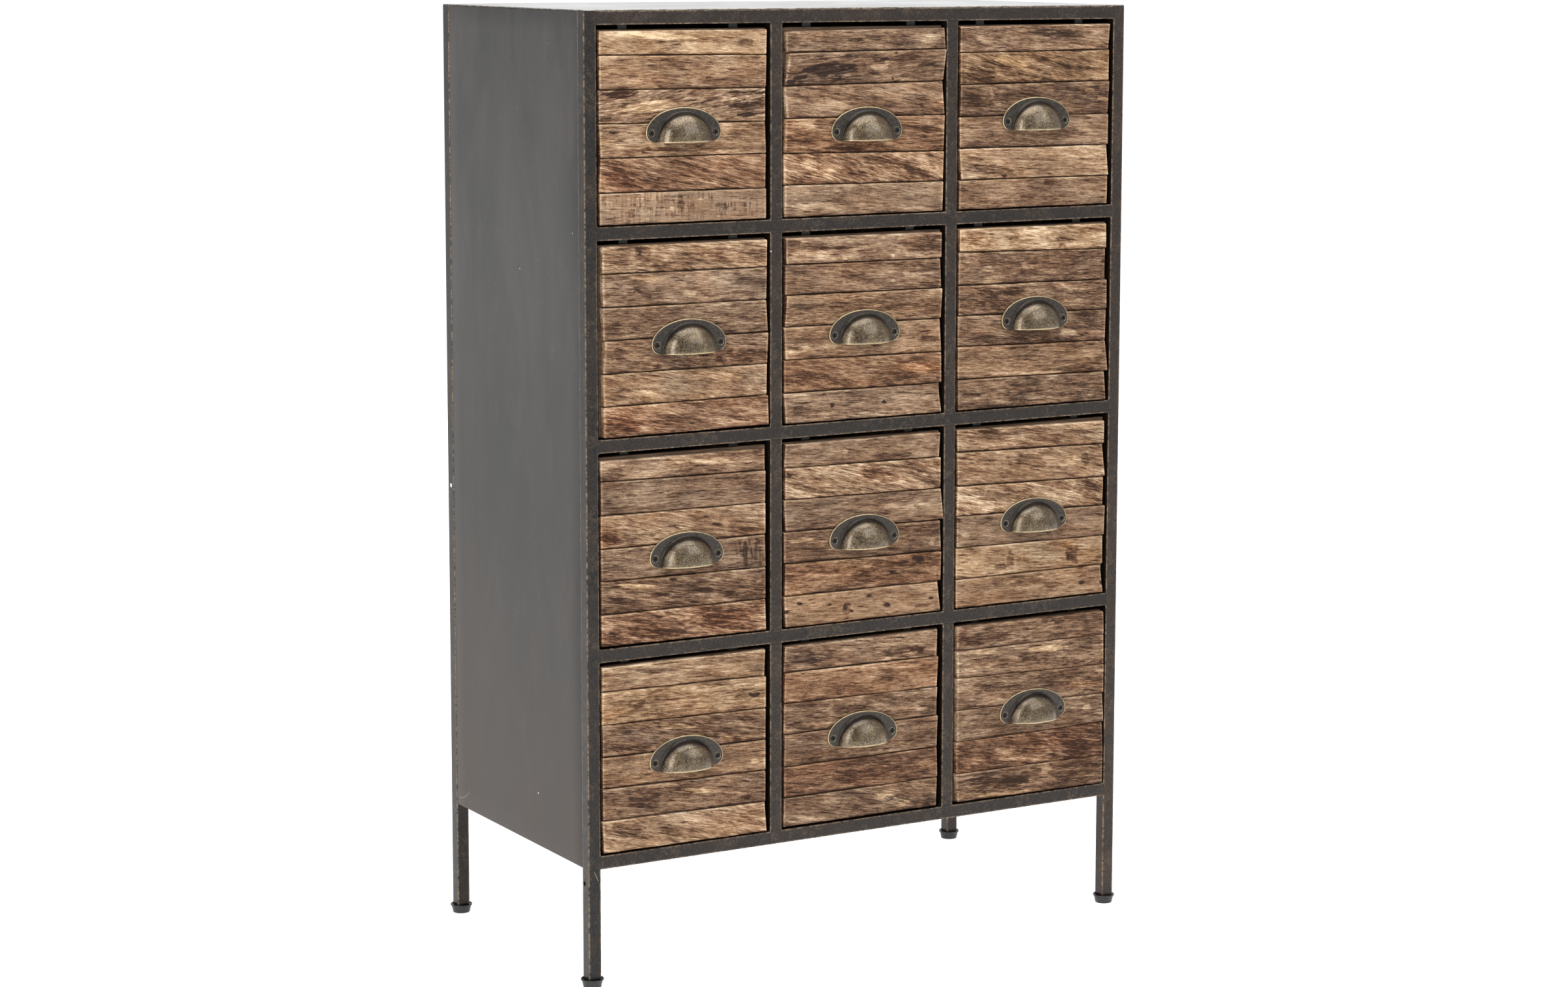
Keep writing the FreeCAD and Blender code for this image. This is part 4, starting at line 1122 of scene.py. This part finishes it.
                ("spot", .74, .4, 3, 7, .6)]),
            (0.03, -3, 0.8, "tan", [("dark", .45, .7, 30, 8, .8), ("dark", .65, .45, 14, 3, 1),
                ("spot", .83, .42, 6, 2.5, .7), ("spot", .97, .35, 5, 3, .8)]),
        ]},
    "bottom_left": {
        "joints": [(5, 5), (32, 35), (69, 72), (105, 108), (140, 143), (176, 179), (213, 214)],
        "ends": [(1.0, 0.3, 6.6, 8.4), (0.3, 0.3, 6.4, 6.1), (0.4, 0.8, 6.4, 6.8), (0.4, 0.4, 6.6, 6.5),
                 (0.4, 1.0, 7.0, 6.8), (0.3, 1.9, 7.7, 5.1)],
        "boards": [
            (0.07, -4, 0.95, "tan", [("grey", .35, .68, 52, 4, 1), ("dark", .35, .68, 50, 3, .6),
                ("grey", .93, .3, 16, 8, .8)]),
            (0.07, -3, 1.05, "gold", [("spot", .9, .45, 8, 2.5, 1), ("dark", .2, .55, 16, 6, .8),
                ("orange", .07, .3, 18, 7, .7), ("light", .5, .85, 90, 4, .6)]),
            (-0.11, -9, 1.1, "brown", [("gold", .45, .75, 22, 5, 1), ("orange", .77, .15, 20, 4, .8),
                ("grey", .2, .5, 32, 12, .7)]),
            (-0.01, -5, 0.85, "tan", [("gold", .9, .35, 6, 3, 1), ("gold", .97, .3, 4, 3, .7)]),
            (-0.07, -8, 1.0, "brown", [("dark", .22, .5, 34, 8, .8), ("gold", .58, .6, 32, 4, 1),
                ("gold", .4, .88, 20, 2.5, .9), ("knot", .85, .2, 8, 3.5, .9), ("spot", .17, .6, 4, 2, .8)]),
            (0.12, -14, 1.1, "tan", [("dark", .16, .6, 26, 10, 1.1), ("dark", .38, .45, 18, 6, .8),
                ("red", .75, .5, 50, 13, .5), ("light", .8, .7, 44, 6, .4)]),
        ]},
    "bottom_middle": {
        "joints": [(5, 5), (35, 36), (70, 72), (106, 106), (143, 143), (179, 179), (213, 213)],
        "ends": [(2.1, 0.3, 7.4, 9.0), (1.4, 0.3, 6.4, 8.9), (0.9, 0.3, 6.9, 9.0), (1.2, 0.5, 6.5, 8.1),
                 (0.5, 1.2, 8.1, 6.2), (1.1, 0.3, 6.4, 7.8)],
        "boards": [
            (0.02, -6, 1.0, "brown", [("grey", .14, .5, 24, 11, 1), ("dark", .15, .5, 22, 9, .6),
                ("knot", .83, .35, 10, 5, .9), ("pale", .65, .1, 4, 2, 1), ("pale", .8, .2, 5, 2, .8)]),
            (0.01, -4, 0.9, "orange", [("light", .5, .9, 100, 4, .7), ("dark", .17, .08, 28, 3, .9)]),
            (-0.05, -5, 1.05, "brown", [("dark", .4, .6, 26, 7, .9), ("light", .87, .4, 18, 7, .9),
                ("crack", .87, .35, 18, 6, .8)]),
            (-0.08, -3, 0.9, "brown", [("grey", .12, .6, 24, 9, .9)]),
            (-0.14, -5, 0.95, "red", [("dark", .45, .5, 40, 9, .9), ("light", .88, .5, 20, 5, .7),
                ("pale", .52, .7, 4, 1.2, 1), ("pale", .64, .6, 4, 1.2, 1), ("pale", .76, .75, 4, 1.2, 1),
                ("light", .5, .08, 100, 4, .9)]),
            (-0.09, -10, 0.9, "grey", [("gold", .64, .6, 12, 5, 1.2), ("gold", .74, .3, 10, 6, 1.2),
                ("crack", .7, .4, 20, 8, .8), ("gold", .95, .5, 4, 3, .7), ("light", .2, .15, 24, 4, .7),
                ("dark", .88, .1, 20, 3, .8)]),
        ]},
    "bottom_right": {
        "joints": [(5, 6), (34, 34), (66, 70), (104, 105), (141, 140), (179, 180), (213, 214)],
        "ends": [(2.1, 2.6, 4.6, 3.6), (2.8, 3.5, 3.9, 3.0), (3.1, 3.1, 3.0, 3.0), (3.5, 3.5, 4.6, 2.7),
                 (1.9, 3.1, 5.0, 2.5), (1.7, 5.3, 3.2, 3.0)],
        "openEnds": True, "flush": True,
        "boards": [
            (-0.07, -3, 1.0, "brown", [("red", .06, .5, 14, 10, .8), ("dark", .2, .4, 34, 8, .9),
                ("light", .62, .75, 8, 3, 1)]),
            (-0.02, -3, 1.05, "brown", [("gold", .2, .88, 24, 3, 1), ("gold", .6, .75, 32, 4, 1)]),
            (-0.06, -3, 1.05, "brown", [("dark", .18, .7, 18, 4, 1), ("orange", .82, .4, 28, 6, .9),
                ("crack", .77, .3, 2, 5, 1)]),
            (-0.06, -4, 0.9, "grey", [("light", .87, .6, 10, 4, .7)]),
            (-0.19, -10, 1.2, "red", [("pale", .33, .5, 14, 4, 1.1), ("light", .12, .35, 24, 5, .9),
                ("light", .5, .15, 50, 3, .8), ("red", .7, .6, 60, 13, .8)]),
            (-0.12, -3, 1.05, "brown", [("dark", .3, .5, 62, 13, .8), ("light", .6, .8, 10, 7, .9),
                ("gold", .4, .05, 80, 3, .9)]),
        ]},
}


def boardShell(look, seed, left, right, ends, lowLine, highLine, faceY, shadedEnds):
    # a rounded outline of bottom, worn edge, face, worn edge and top, carried from the left end to the right
    f = boardForm
    tone, slope, figure, hue, marks = look
    n, endRadius = f["stations"], f["endRadius"]
    turn = np.linspace(0, math.pi / 2, 5)
    t = np.concatenate([np.zeros(4), np.linspace(0, 1, n), np.ones(4)])[:, None]
    rounding, cosines = 1 - np.sin(turn[:-1]), np.cos(turn[:-1])
    endIn = np.concatenate([rounding, np.zeros(n), rounding[::-1]])[:, None] * endRadius
    endOut = np.concatenate([cosines, np.zeros(n), -cosines[::-1]])[:, None] * endRadius
    along = left + t * (right - left)

    def edgeLine(line, waves):
        return line[0] + (line[1] - line[0]) * t + sum(height * softNoise(along / length, level, seed + step)
                                                       for height, length, level, step in waves)

    low, high = edgeLine(lowLine, f["lowWaves"]) + endIn, edgeLine(highLine, f["highWaves"]) - endIn
    least, most = f["edgeRadius"]
    radiusLow, radiusHigh = (
        least + (most - least) * (0.5 + 0.5 * softNoise(along / f["radiusWave"], level, seed + step))
        for level, step in ((0.5, 4), (0.9, 5)))
    up = np.linspace(0, 1, f["heights"])[None, 1:-1]
    faceZ = low + radiusLow + up * (high - radiusHigh - low - radiusLow)
    backY = faceY + f["thick"]
    backs = backY + 0 * t
    z = np.hstack([low, low, low + radiusLow * (1 - np.cos(turn)), faceZ,
                   high - radiusHigh * (1 - np.sin(turn)), high, high])
    y = np.hstack([backs, (backs + faceY) / 2, faceY + radiusLow * (1 - np.sin(turn)), faceY + 0 * faceZ,
                   faceY + radiusHigh * (1 - np.cos(turn)), (backs + faceY) / 2, backs])
    rounded = 0.12 * np.arange(5)
    faceWeight = np.hstack([[0, 0.3], 0.4 + rounded, np.ones(up.size), 0.88 - rounded, [0.3, 0]])
    v = np.clip((z - low) / (high - low), 0, 1)
    xLeft = left + ends[1] + (ends[0] - ends[1]) * v
    xRight = right - ends[3] - (ends[2] - ends[3]) * v
    x = xLeft + endRadius + t * (xRight - xLeft - 2 * endRadius) - endOut
    u = (x - left) / (right - left)

    def waves(length, height, step):
        return softNoise(x / length, z / height, seed + step)

    # relief of the face: a slow twist and a hand-planed ripple, and below a sunk patch at some kinds of mark
    relief = 0.25 * mm * waves(0.07, 0.02, 6) + 0.10 * mm * waves(0.012, 0.006, 7)
    tones = float(tone) + 0.05 * waves(0.045, 0.014, 8)
    tint = np.array(f["hues"][hue]) * (1 + 0.05 * waves(0.03, 0.01, 9)[..., None] * np.array([1, 0, -1]))
    figures = np.full(x.shape, float(figure))
    stroke, crack, saw, blot = (np.zeros(x.shape) for _ in range(4))
    middle = (lowLine[0] + highLine[1]) / 2
    angle = math.radians(slope)
    centred = x - (left + right) / 2
    grainAlong = np.cos(angle) * centred + np.sin(angle) * (z - middle)
    grainUp = -np.sin(angle) * centred + np.cos(angle) * (z - middle)
    grainUp = grainUp + 1.0 * mm * waves(0.07, 0.03, 11) + 0.2 * mm * waves(0.022, 0.012, 13)
    for i, (kind, mu, mv, halfWide, halfHigh, strength) in enumerate(marks):
        wide, tall = halfWide * mm, halfHigh * mm
        dTone, dFigure, tinted, dCrack, dSaw, dBlot = markKinds[kind]
        dx = (u - mu) * (right - left)
        dz = (v - mv) * (high - low) - dx * math.sin(angle) * 0.8
        reach = np.hypot(dx / wide, dz / tall) + 0.35 * waves(wide * 0.5 + 2 * mm, tall * 0.5 + 1 * mm, 40 + i)
        mask = strength * (1 - ease(reach, 0.35, 1.25))
        for total, change in ((stroke, dTone), (figures, dFigure), (crack, dCrack), (saw, dSaw), (blot, dBlot)):
            total += change * mask
        tint = tint * (1 + f["markTint"] * (np.array(tinted) - 1) * np.clip(mask, 0, 1)[..., None])
        relief = relief + markRelief.get(kind, 0) * np.clip(mask, 0, 1 if kind == "spot" else None)
        if kind == "knot":
            grainUp = grainUp + dz * 1.2 * mask
    tilt = f["tilt"] * float(latticeValue(np.array(seed), np.array(3), 8) - 0.5) * (1 - 2 * v)
    y = np.minimum(y + (relief + tilt + endIn) * faceWeight, backY)
    # painted highlight along the upper edges and near the ends; painted shade mostly along the lower edges, and on
    # the end faces where the ends are shaded
    upperEdge = 1 - ease((1 - v) * (high - low), *f["upperBand"])
    lowerEdge = 1 - ease(v * (high - low), *f["lowerBand"])
    tips = 1 - ease(np.minimum(x - xLeft, xRight - x), *f["tipBand"])
    paintedLowerShade = f["paintedLowerShade"] + softNoise(x / 0.035, 0.2, seed + 14)
    worn = upperEdge * (0.95 + 0.5 * waves(0.02, 0.01, 12)) + lowerEdge * paintedLowerShade + tips * 1.1
    endFace = np.clip(abs(endOut) / endRadius * 1.3 - 0.2, 0, 1) + 0 * x
    worn = np.clip(worn, -1.4, 1.5) - endFace * f["paintedEndShade"] * shadedEnds
    grain = spread(grainAlong, grainUp, y - faceY).reshape(-1, 3) + seed * np.array([0.0173, 0.0059, 0.0211])
    flat = {"tone": tones, "stroke": stroke, "figure": figures, "crack": crack, "saw": saw, "blot": blot,
            "worn": worn}
    flat = {k: a.ravel() for k, a in flat.items()}
    return loft(spread(x, y, z), grain=grain, tint=tint.reshape(-1, 3), **flat)


def peg(x, z, rings, sides):
    # rings of radius and y round an axis along y, closed at both ends
    r, y = (np.array(v)[:, None] for v in zip(*rings))
    angle = np.arange(sides) / sides * 2 * math.pi
    return loft(spread(x + r * np.cos(angle), y, z + r * np.sin(angle)))


def nailHead(x, z, y, radius):
    # a small flat head with a rounded rim, sunk into the board
    return peg(x, z, [(radius, y + 0.6 * mm), (radius, y + 0.05 * mm), (radius * 0.8, y - 0.06 * mm),
                      (radius * 0.35, y - 0.1 * mm)], 8)


def drawerFront(drawer, row, column):
    front, f = fronts[drawer], boardForm
    flush = front.get("flush")
    dice = np.random.default_rng(100 + 10 * row + column)
    left, right = openingLeft(column), openingLeft(column) + openingWidth
    joint = f["flushJoint" if flush else "joint"]
    lines = openingTop(row) - np.array(front["joints"]) * mm
    shells, nails = [], []
    for i, look in enumerate(front["boards"]):
        highLine, lowLine = lines[i] - joint / 2, lines[i + 1] + joint / 2
        faceY = frontY - f["proud"] + dice.uniform(0, f["flushUneven"] if flush else 1.0) * f["uneven"]
        ends = np.array(front["ends"][i]) * mm
        ends[:2] += f["leftShare"]
        shells.append(boardShell(look, 500 * row + 160 * column + 20 * i, left, right, ends, lowLine, highLine,
                                 faceY, not front.get("openEnds")))
        inset, stray = nailForm["inset"], nailForm["stray"]
        for k, x in enumerate((left + max(ends[:2]) + inset, right - max(ends[2:]) - inset)):
            for share in nailForm["shares"]:
                dx, dz = dice.uniform(-stray, stray, 2) * mm
                z = lowLine[0] + share * (highLine[0] - lowLine[0]) + k * (highLine[1] - highLine[0])
                radius = dice.uniform(*nailForm["radius"]) * mm
                nails.append(nailHead(x + dx, z + dz, faceY + nailForm["sunk"], radius))
    body = drawer + "_drawer"
    place(drawer + "_front_boards", makeMesh(drawer + "_front_boards", shells, 50), boardLook, body,
          "reclaimed_wood", drawer + "_slats")
    place(drawer + "_board_nails", makeMesh(drawer + "_board_nails", nails, 50), nailLook, body, "screw_steel")


# cup pull and its screws

pullForm = {
    "width": 92 * mm, "height": 37 * mm, "rise": 9.6 * mm, "flange": 1.4 * mm, "bevel": 0.7 * mm,
    "cup": (32.5 * mm, 31.2 * mm, 20 * mm),   # half width and height of the cup's mouth on the flange, and reach
    "metal": 1.2 * mm, "flare": 0.055, "flareAngle": 17,
    "lipRim": (86.8, 89),   # degrees round the dome between which its rim turns bright
    "screwSpacing": 78.5 * mm, "headRadius": 3.3 * mm, "seatSlack": 0.45 * mm, "slotAngle": 0.35,
}


def pullOutline(count):
    # from the flat lower edge right of the cup, round the lower corner, over the half ellipse, to the left
    f = pullForm
    half, rise, height = f["width"] / 2, f["rise"], f["height"]
    turn = np.linspace(0, math.pi / 2, 40)
    lower = np.stack([half - rise + rise * np.sin(turn), rise - rise * np.cos(turn)], 1)
    arch = np.linspace(0, math.pi, 200)
    over = np.stack([half * np.cos(arch), rise + (height - rise) * np.sin(arch)], 1)[1:-1]
    line = np.vstack([lower, over, lower[::-1] * [-1, 1]])
    run = np.concatenate([[0], np.cumsum(np.hypot(*np.diff(line, axis=0).T))])
    s = np.linspace(0, run[-1], count)
    return np.stack([np.interp(s, run, line[:, 0]), np.interp(s, run, line[:, 1])], 1)


def pullMesh():
    # for every angle round the cup, one closed section: rim, flange, crease, dome, lip, inside and back
    f = pullForm
    count = 121
    outer = pullOutline(count)
    a = np.linspace(0, math.pi, count)
    mouth, tall, reach = f["cup"]
    inward = [0, f["rise"]] - outer
    inward /= np.linalg.norm(inward, axis=1)[:, None]
    inward[:, 1] *= ease(outer[:, 1], 0, 3 * mm)
    crease = np.stack([mouth * np.cos(a), tall * np.sin(a)], 1)
    front, bevel, metal = -f["flange"], f["bevel"], f["metal"]
    depth = (reach - f["flange"]) * np.sin(a)
    rows = []

    # a row's last value, dark, is painted shade for the crease and the inside of the cup
    def addRow(xz, y, rim=0.0, dome=0.0, dark=0.0):
        rows.append(np.broadcast_arrays(xz[:, 0], y, xz[:, 1], rim, dome, dark))

    addRow(outer, 0.0, 0.4)
    addRow(outer, front + bevel, 0.9)
    for turn in np.linspace(0, math.pi / 2, 5)[1:]:
        addRow(outer + inward * bevel * (1 - math.cos(turn)), front + bevel * (1 - math.sin(turn)), 1.0)
    edge = outer + inward * bevel
    addRow(edge + inward * 0.25 * mm, front, 0.45)
    addRow(edge + inward * 0.45 * mm, front, 0.0)
    start, flared = edge + inward * 0.35 * mm, crease * (1 + f["flare"] * 1.4)
    for share in (0.12, 0.3, 0.5, 0.7, 0.86):
        addRow(start + (flared - start) * share, front)
    # crease: the dome's foot flares out into the flange along a quarter turn
    psiFlare = math.radians(f["flareAngle"])
    for psi in np.linspace(0, psiFlare, 7)[:-1]:
        k = 1 - psi / psiFlare
        addRow(crease * [1, math.cos(psi)] * (1 + f["flare"] * k * k), front - depth * math.sin(psi) * (1 - 0.6 * k),
               0.0, 0.25 * (1 - k), 0.3 + 0.7 * (1 - abs(2 * k - 1)))
    for psi in np.radians([*np.linspace(f["flareAngle"], 84, 22), 87, 89.2]):
        fade = ease(psi, psiFlare, 2 * psiFlare)
        addRow(crease * [1, math.cos(psi)], front - depth * math.sin(psi), ease(psi, *np.radians(f["lipRim"])), fade,
               0.6 * (1 - fade))
    # lip: half a turn across the metal's thickness
    inner = np.stack([(mouth - metal) * np.cos(a), (tall - metal) * np.sin(a)], 1)
    innerDepth = depth - metal * np.sin(a)
    for turn in np.linspace(0, math.pi, 5):
        w = (1 - math.cos(turn)) / 2
        x = crease[:, 0] * (1 - w) + inner[:, 0] * w
        drop = 0.35 * mm * math.sin(turn) * np.sin(a)
        addRow(np.stack([x, -drop], 1), front - depth * (1 - w) - innerDepth * w, ease(1 - w, 0.72, 0.98), 1.0)
    for psi in np.radians(np.linspace(80, 0, 14)):
        addRow(inner * [1, math.cos(psi)], (front - innerDepth) * math.sin(psi), 0.0, 0.2, 0.5)
    addRow(inner + (outer - inner) * 0.5, 0.0)
    table = np.array(rows)
    points = table[:, :3].transpose(2, 0, 1)
    values = {k: table[:, i].T.ravel() for i, k in ((3, "rim"), (4, "dome"), (5, "crease"))}
    return makeMesh("cup_pull", [loft(points, **values)], 50)


def screwMesh():
    # a countersunk head, slightly domed, with a cross recess of two tapering slots
    r, front = pullForm["headRadius"], -pullForm["flange"]
    rings = [(1.5 * mm, front + 1.9 * mm), (r, front + 0.12 * mm), (r * 0.97, front - 0.03 * mm),
             (r * 0.75, front - 0.12 * mm), (r * 0.4, front - 0.18 * mm)]
    long, wide, deep = r * 0.62, r * 0.15, 1.3 * mm
    levels = [(front - 1 * mm, 1.15), (front - 0.1 * mm, 1.0), (front - 0.1 * mm + deep, 0.45)]
    y, scale = np.array(levels).T[..., None]
    x, z = scale * long * np.array([-1, 1, 1, -1]), scale * wide * np.array([-1, -1, 1, 1])
    slots = []
    for turn in (pullForm["slotAngle"], pullForm["slotAngle"] + math.pi / 2):
        c, s = math.cos(turn), math.sin(turn)
        slots.append(makeMesh("slot", [loft(spread(c * x - s * z, y, s * x + c * z))], 30))
    return cutWith(makeMesh("screw", [peg(0, 0, rings, 32)], 40), slots, 35)


screwPlaces = [(side * pullForm["screwSpacing"] / 2, 0, pullForm["rise"]) for side in (-1, 1)]
seatRadius, seatFront = pullForm["headRadius"] + pullForm["seatSlack"], -pullForm["flange"]
seat = makeMesh("seat", [peg(0, 0, [(seatRadius + 1.2 * mm, seatFront - 1.2 * mm), (seatRadius, seatFront),
                                    (2.0 * mm, seatFront + 1.75 * mm)], 32)])
pull = cutWith(pullMesh(), [shifted(seat, "seat", spot) for spot in screwPlaces], 42)
screws = smoothed(repeated(screwMesh(), "screws", screwPlaces), 35)
print("pull made,", len(pull.vertices), "corners")

for row, column in openings:
    drawer = rowNames[row] + "_" + columnNames[column]
    drawerBox(drawer, row, column)
    drawerFront(drawer, row, column)
    low, high = span(drawer + "_cup_pull")
    foot = (low[0] + high[0]) / 2, high[1], low[2]
    body = drawer + "_drawer"
    place(drawer + "_brass_pull", shifted(pull, drawer + "_brass_pull", foot), brassLook, body, "antique_brass",
          drawer + "_cup_pull")
    place(drawer + "_cross_screws", shifted(screws, drawer + "_screws", foot), screwLook, body, "screw_steel",
          drawer + "_pull_screws")
print("drawers made")


# floor, light and camera

floorSize = 90.0
floorMesh = bpy.data.meshes.new("floor")
floorMesh.from_pydata([(x * floorSize, y * floorSize, 0) for x, y in ((-1, -1), (1, -1), (1, 1), (-1, 1))], [],
                      [(0, 1, 2, 3)])
floorMesh.materials.append(paleFloor())
addObject("floor", floorMesh)

# the room is pale, but for a dim upright strip in front, a little to the left; it shows in the pulls
roomForm = {"bright": 0.46, "dim": 0.03, "side": math.radians(-20), "strip": (0.10, 0.26), "front": (0.30, 0.55)}
bpy.context.scene.world = bpy.data.worlds.new("studio")
room = Shader("studio", bpy.context.scene.world)
aim = room.add("TexCoord").outputs["Generated"]
cosine, sine = math.cos(roomForm["side"]), math.sin(roomForm["side"])
dim = room.times(room.band(room.dot(aim, (cosine, sine, 0)), 0, *roomForm["strip"]),
                 room.window(room.dot(aim, (sine, -cosine, 0)), *roomForm["front"]))
strength = room.add("MapRange", {"Value": dim, "To Min": roomForm["bright"], "To Max": roomForm["dim"]})
room.set(Color=(0.97, 0.985, 1.0, 1), Strength=strength.outputs["Result"])
plain = room.add("Background", {"Color": (1, 1, 1, 1), "Strength": 1.0}).outputs[0]
seen = room.add("LightPath").outputs["Is Camera Ray"]
choose = room.add("MixShader", {0: seen, 1: room.surface.outputs[0], 2: plain}).outputs[0]
room.feed(room.tree.nodes["World Output"].inputs["Surface"], choose)

# soft boxes: place, what they point at, width and height in metres, power in watts
softBoxes = {
    "left_front_box": ((-2.3, -1.93, 1.5), (0, -0.1, 0.6), 1.0, 2.6, 36),
    "right_box": ((1.75, -3.0, 2.7), (0, -0.1, 0.6), 2.4, 1.8, 30),
    "left_box": ((-2.9, 0.3, 1.8), (0, 0, 0.7), 1.6, 1.8, 16),
    "rear_box": ((2.1, 3.6, 1.75), (0, 0.1, 1.0), 4.0, 2.4, 70),
    "overhead_box": ((0.2, -0.7, 3.0), (0, 0, 0.5), 2.6, 2.0, 44),
}
for name, (spot, target, wide, tall, power) in softBoxes.items():
    light = bpy.data.lights.new(name, "AREA")
    light.shape, light.size, light.size_y, light.energy = "RECTANGLE", wide, tall, power
    lamp = addObject(name, light)
    lamp.location = spot
    lamp.visible_camera = False
    lamp.rotation_euler = (Vector(target) - Vector(spot)).to_track_quat("-Z", "Y").to_euler()

# where the photograph was taken from, found from the measured edges of the frame
photoWidth, photoHeight = 2408, 1516
cameraForm = {"eye": (-2.01014, -3.49605, 1.14977), "yaw": 30.430, "down": 7.4925, "roll": 0.146,
              "focalPixels": 5347.5, "axisPixel": (1260.18, 602.88)}
yaw, down, roll = (math.radians(cameraForm[k]) for k in ("yaw", "down", "roll"))
forward = Vector((math.sin(yaw) * math.cos(down), math.cos(yaw) * math.cos(down), -math.sin(down)))
level = Vector((math.cos(yaw), -math.sin(yaw), 0))
upright = level.cross(forward)
right = level * math.cos(roll) + upright * math.sin(roll)
upward = upright * math.cos(roll) - level * math.sin(roll)
lens = bpy.data.cameras.new("photo_camera")
lens.sensor_width = 36
lens.lens = cameraForm["focalPixels"] / photoWidth * lens.sensor_width
lens.shift_x = (photoWidth / 2 - cameraForm["axisPixel"][0]) / photoWidth
lens.shift_y = (cameraForm["axisPixel"][1] - photoHeight / 2) / photoWidth
lens.clip_end = 400
camera = addObject("photo_camera", lens)
rows = [(right[i], upward[i], -forward[i], cameraForm["eye"][i]) for i in range(3)]
camera.matrix_world = Matrix(rows + [(0, 0, 0, 1)])
bpy.context.scene.camera = camera
bpy.context.scene.view_settings.view_transform = "Standard"
print("stage made")
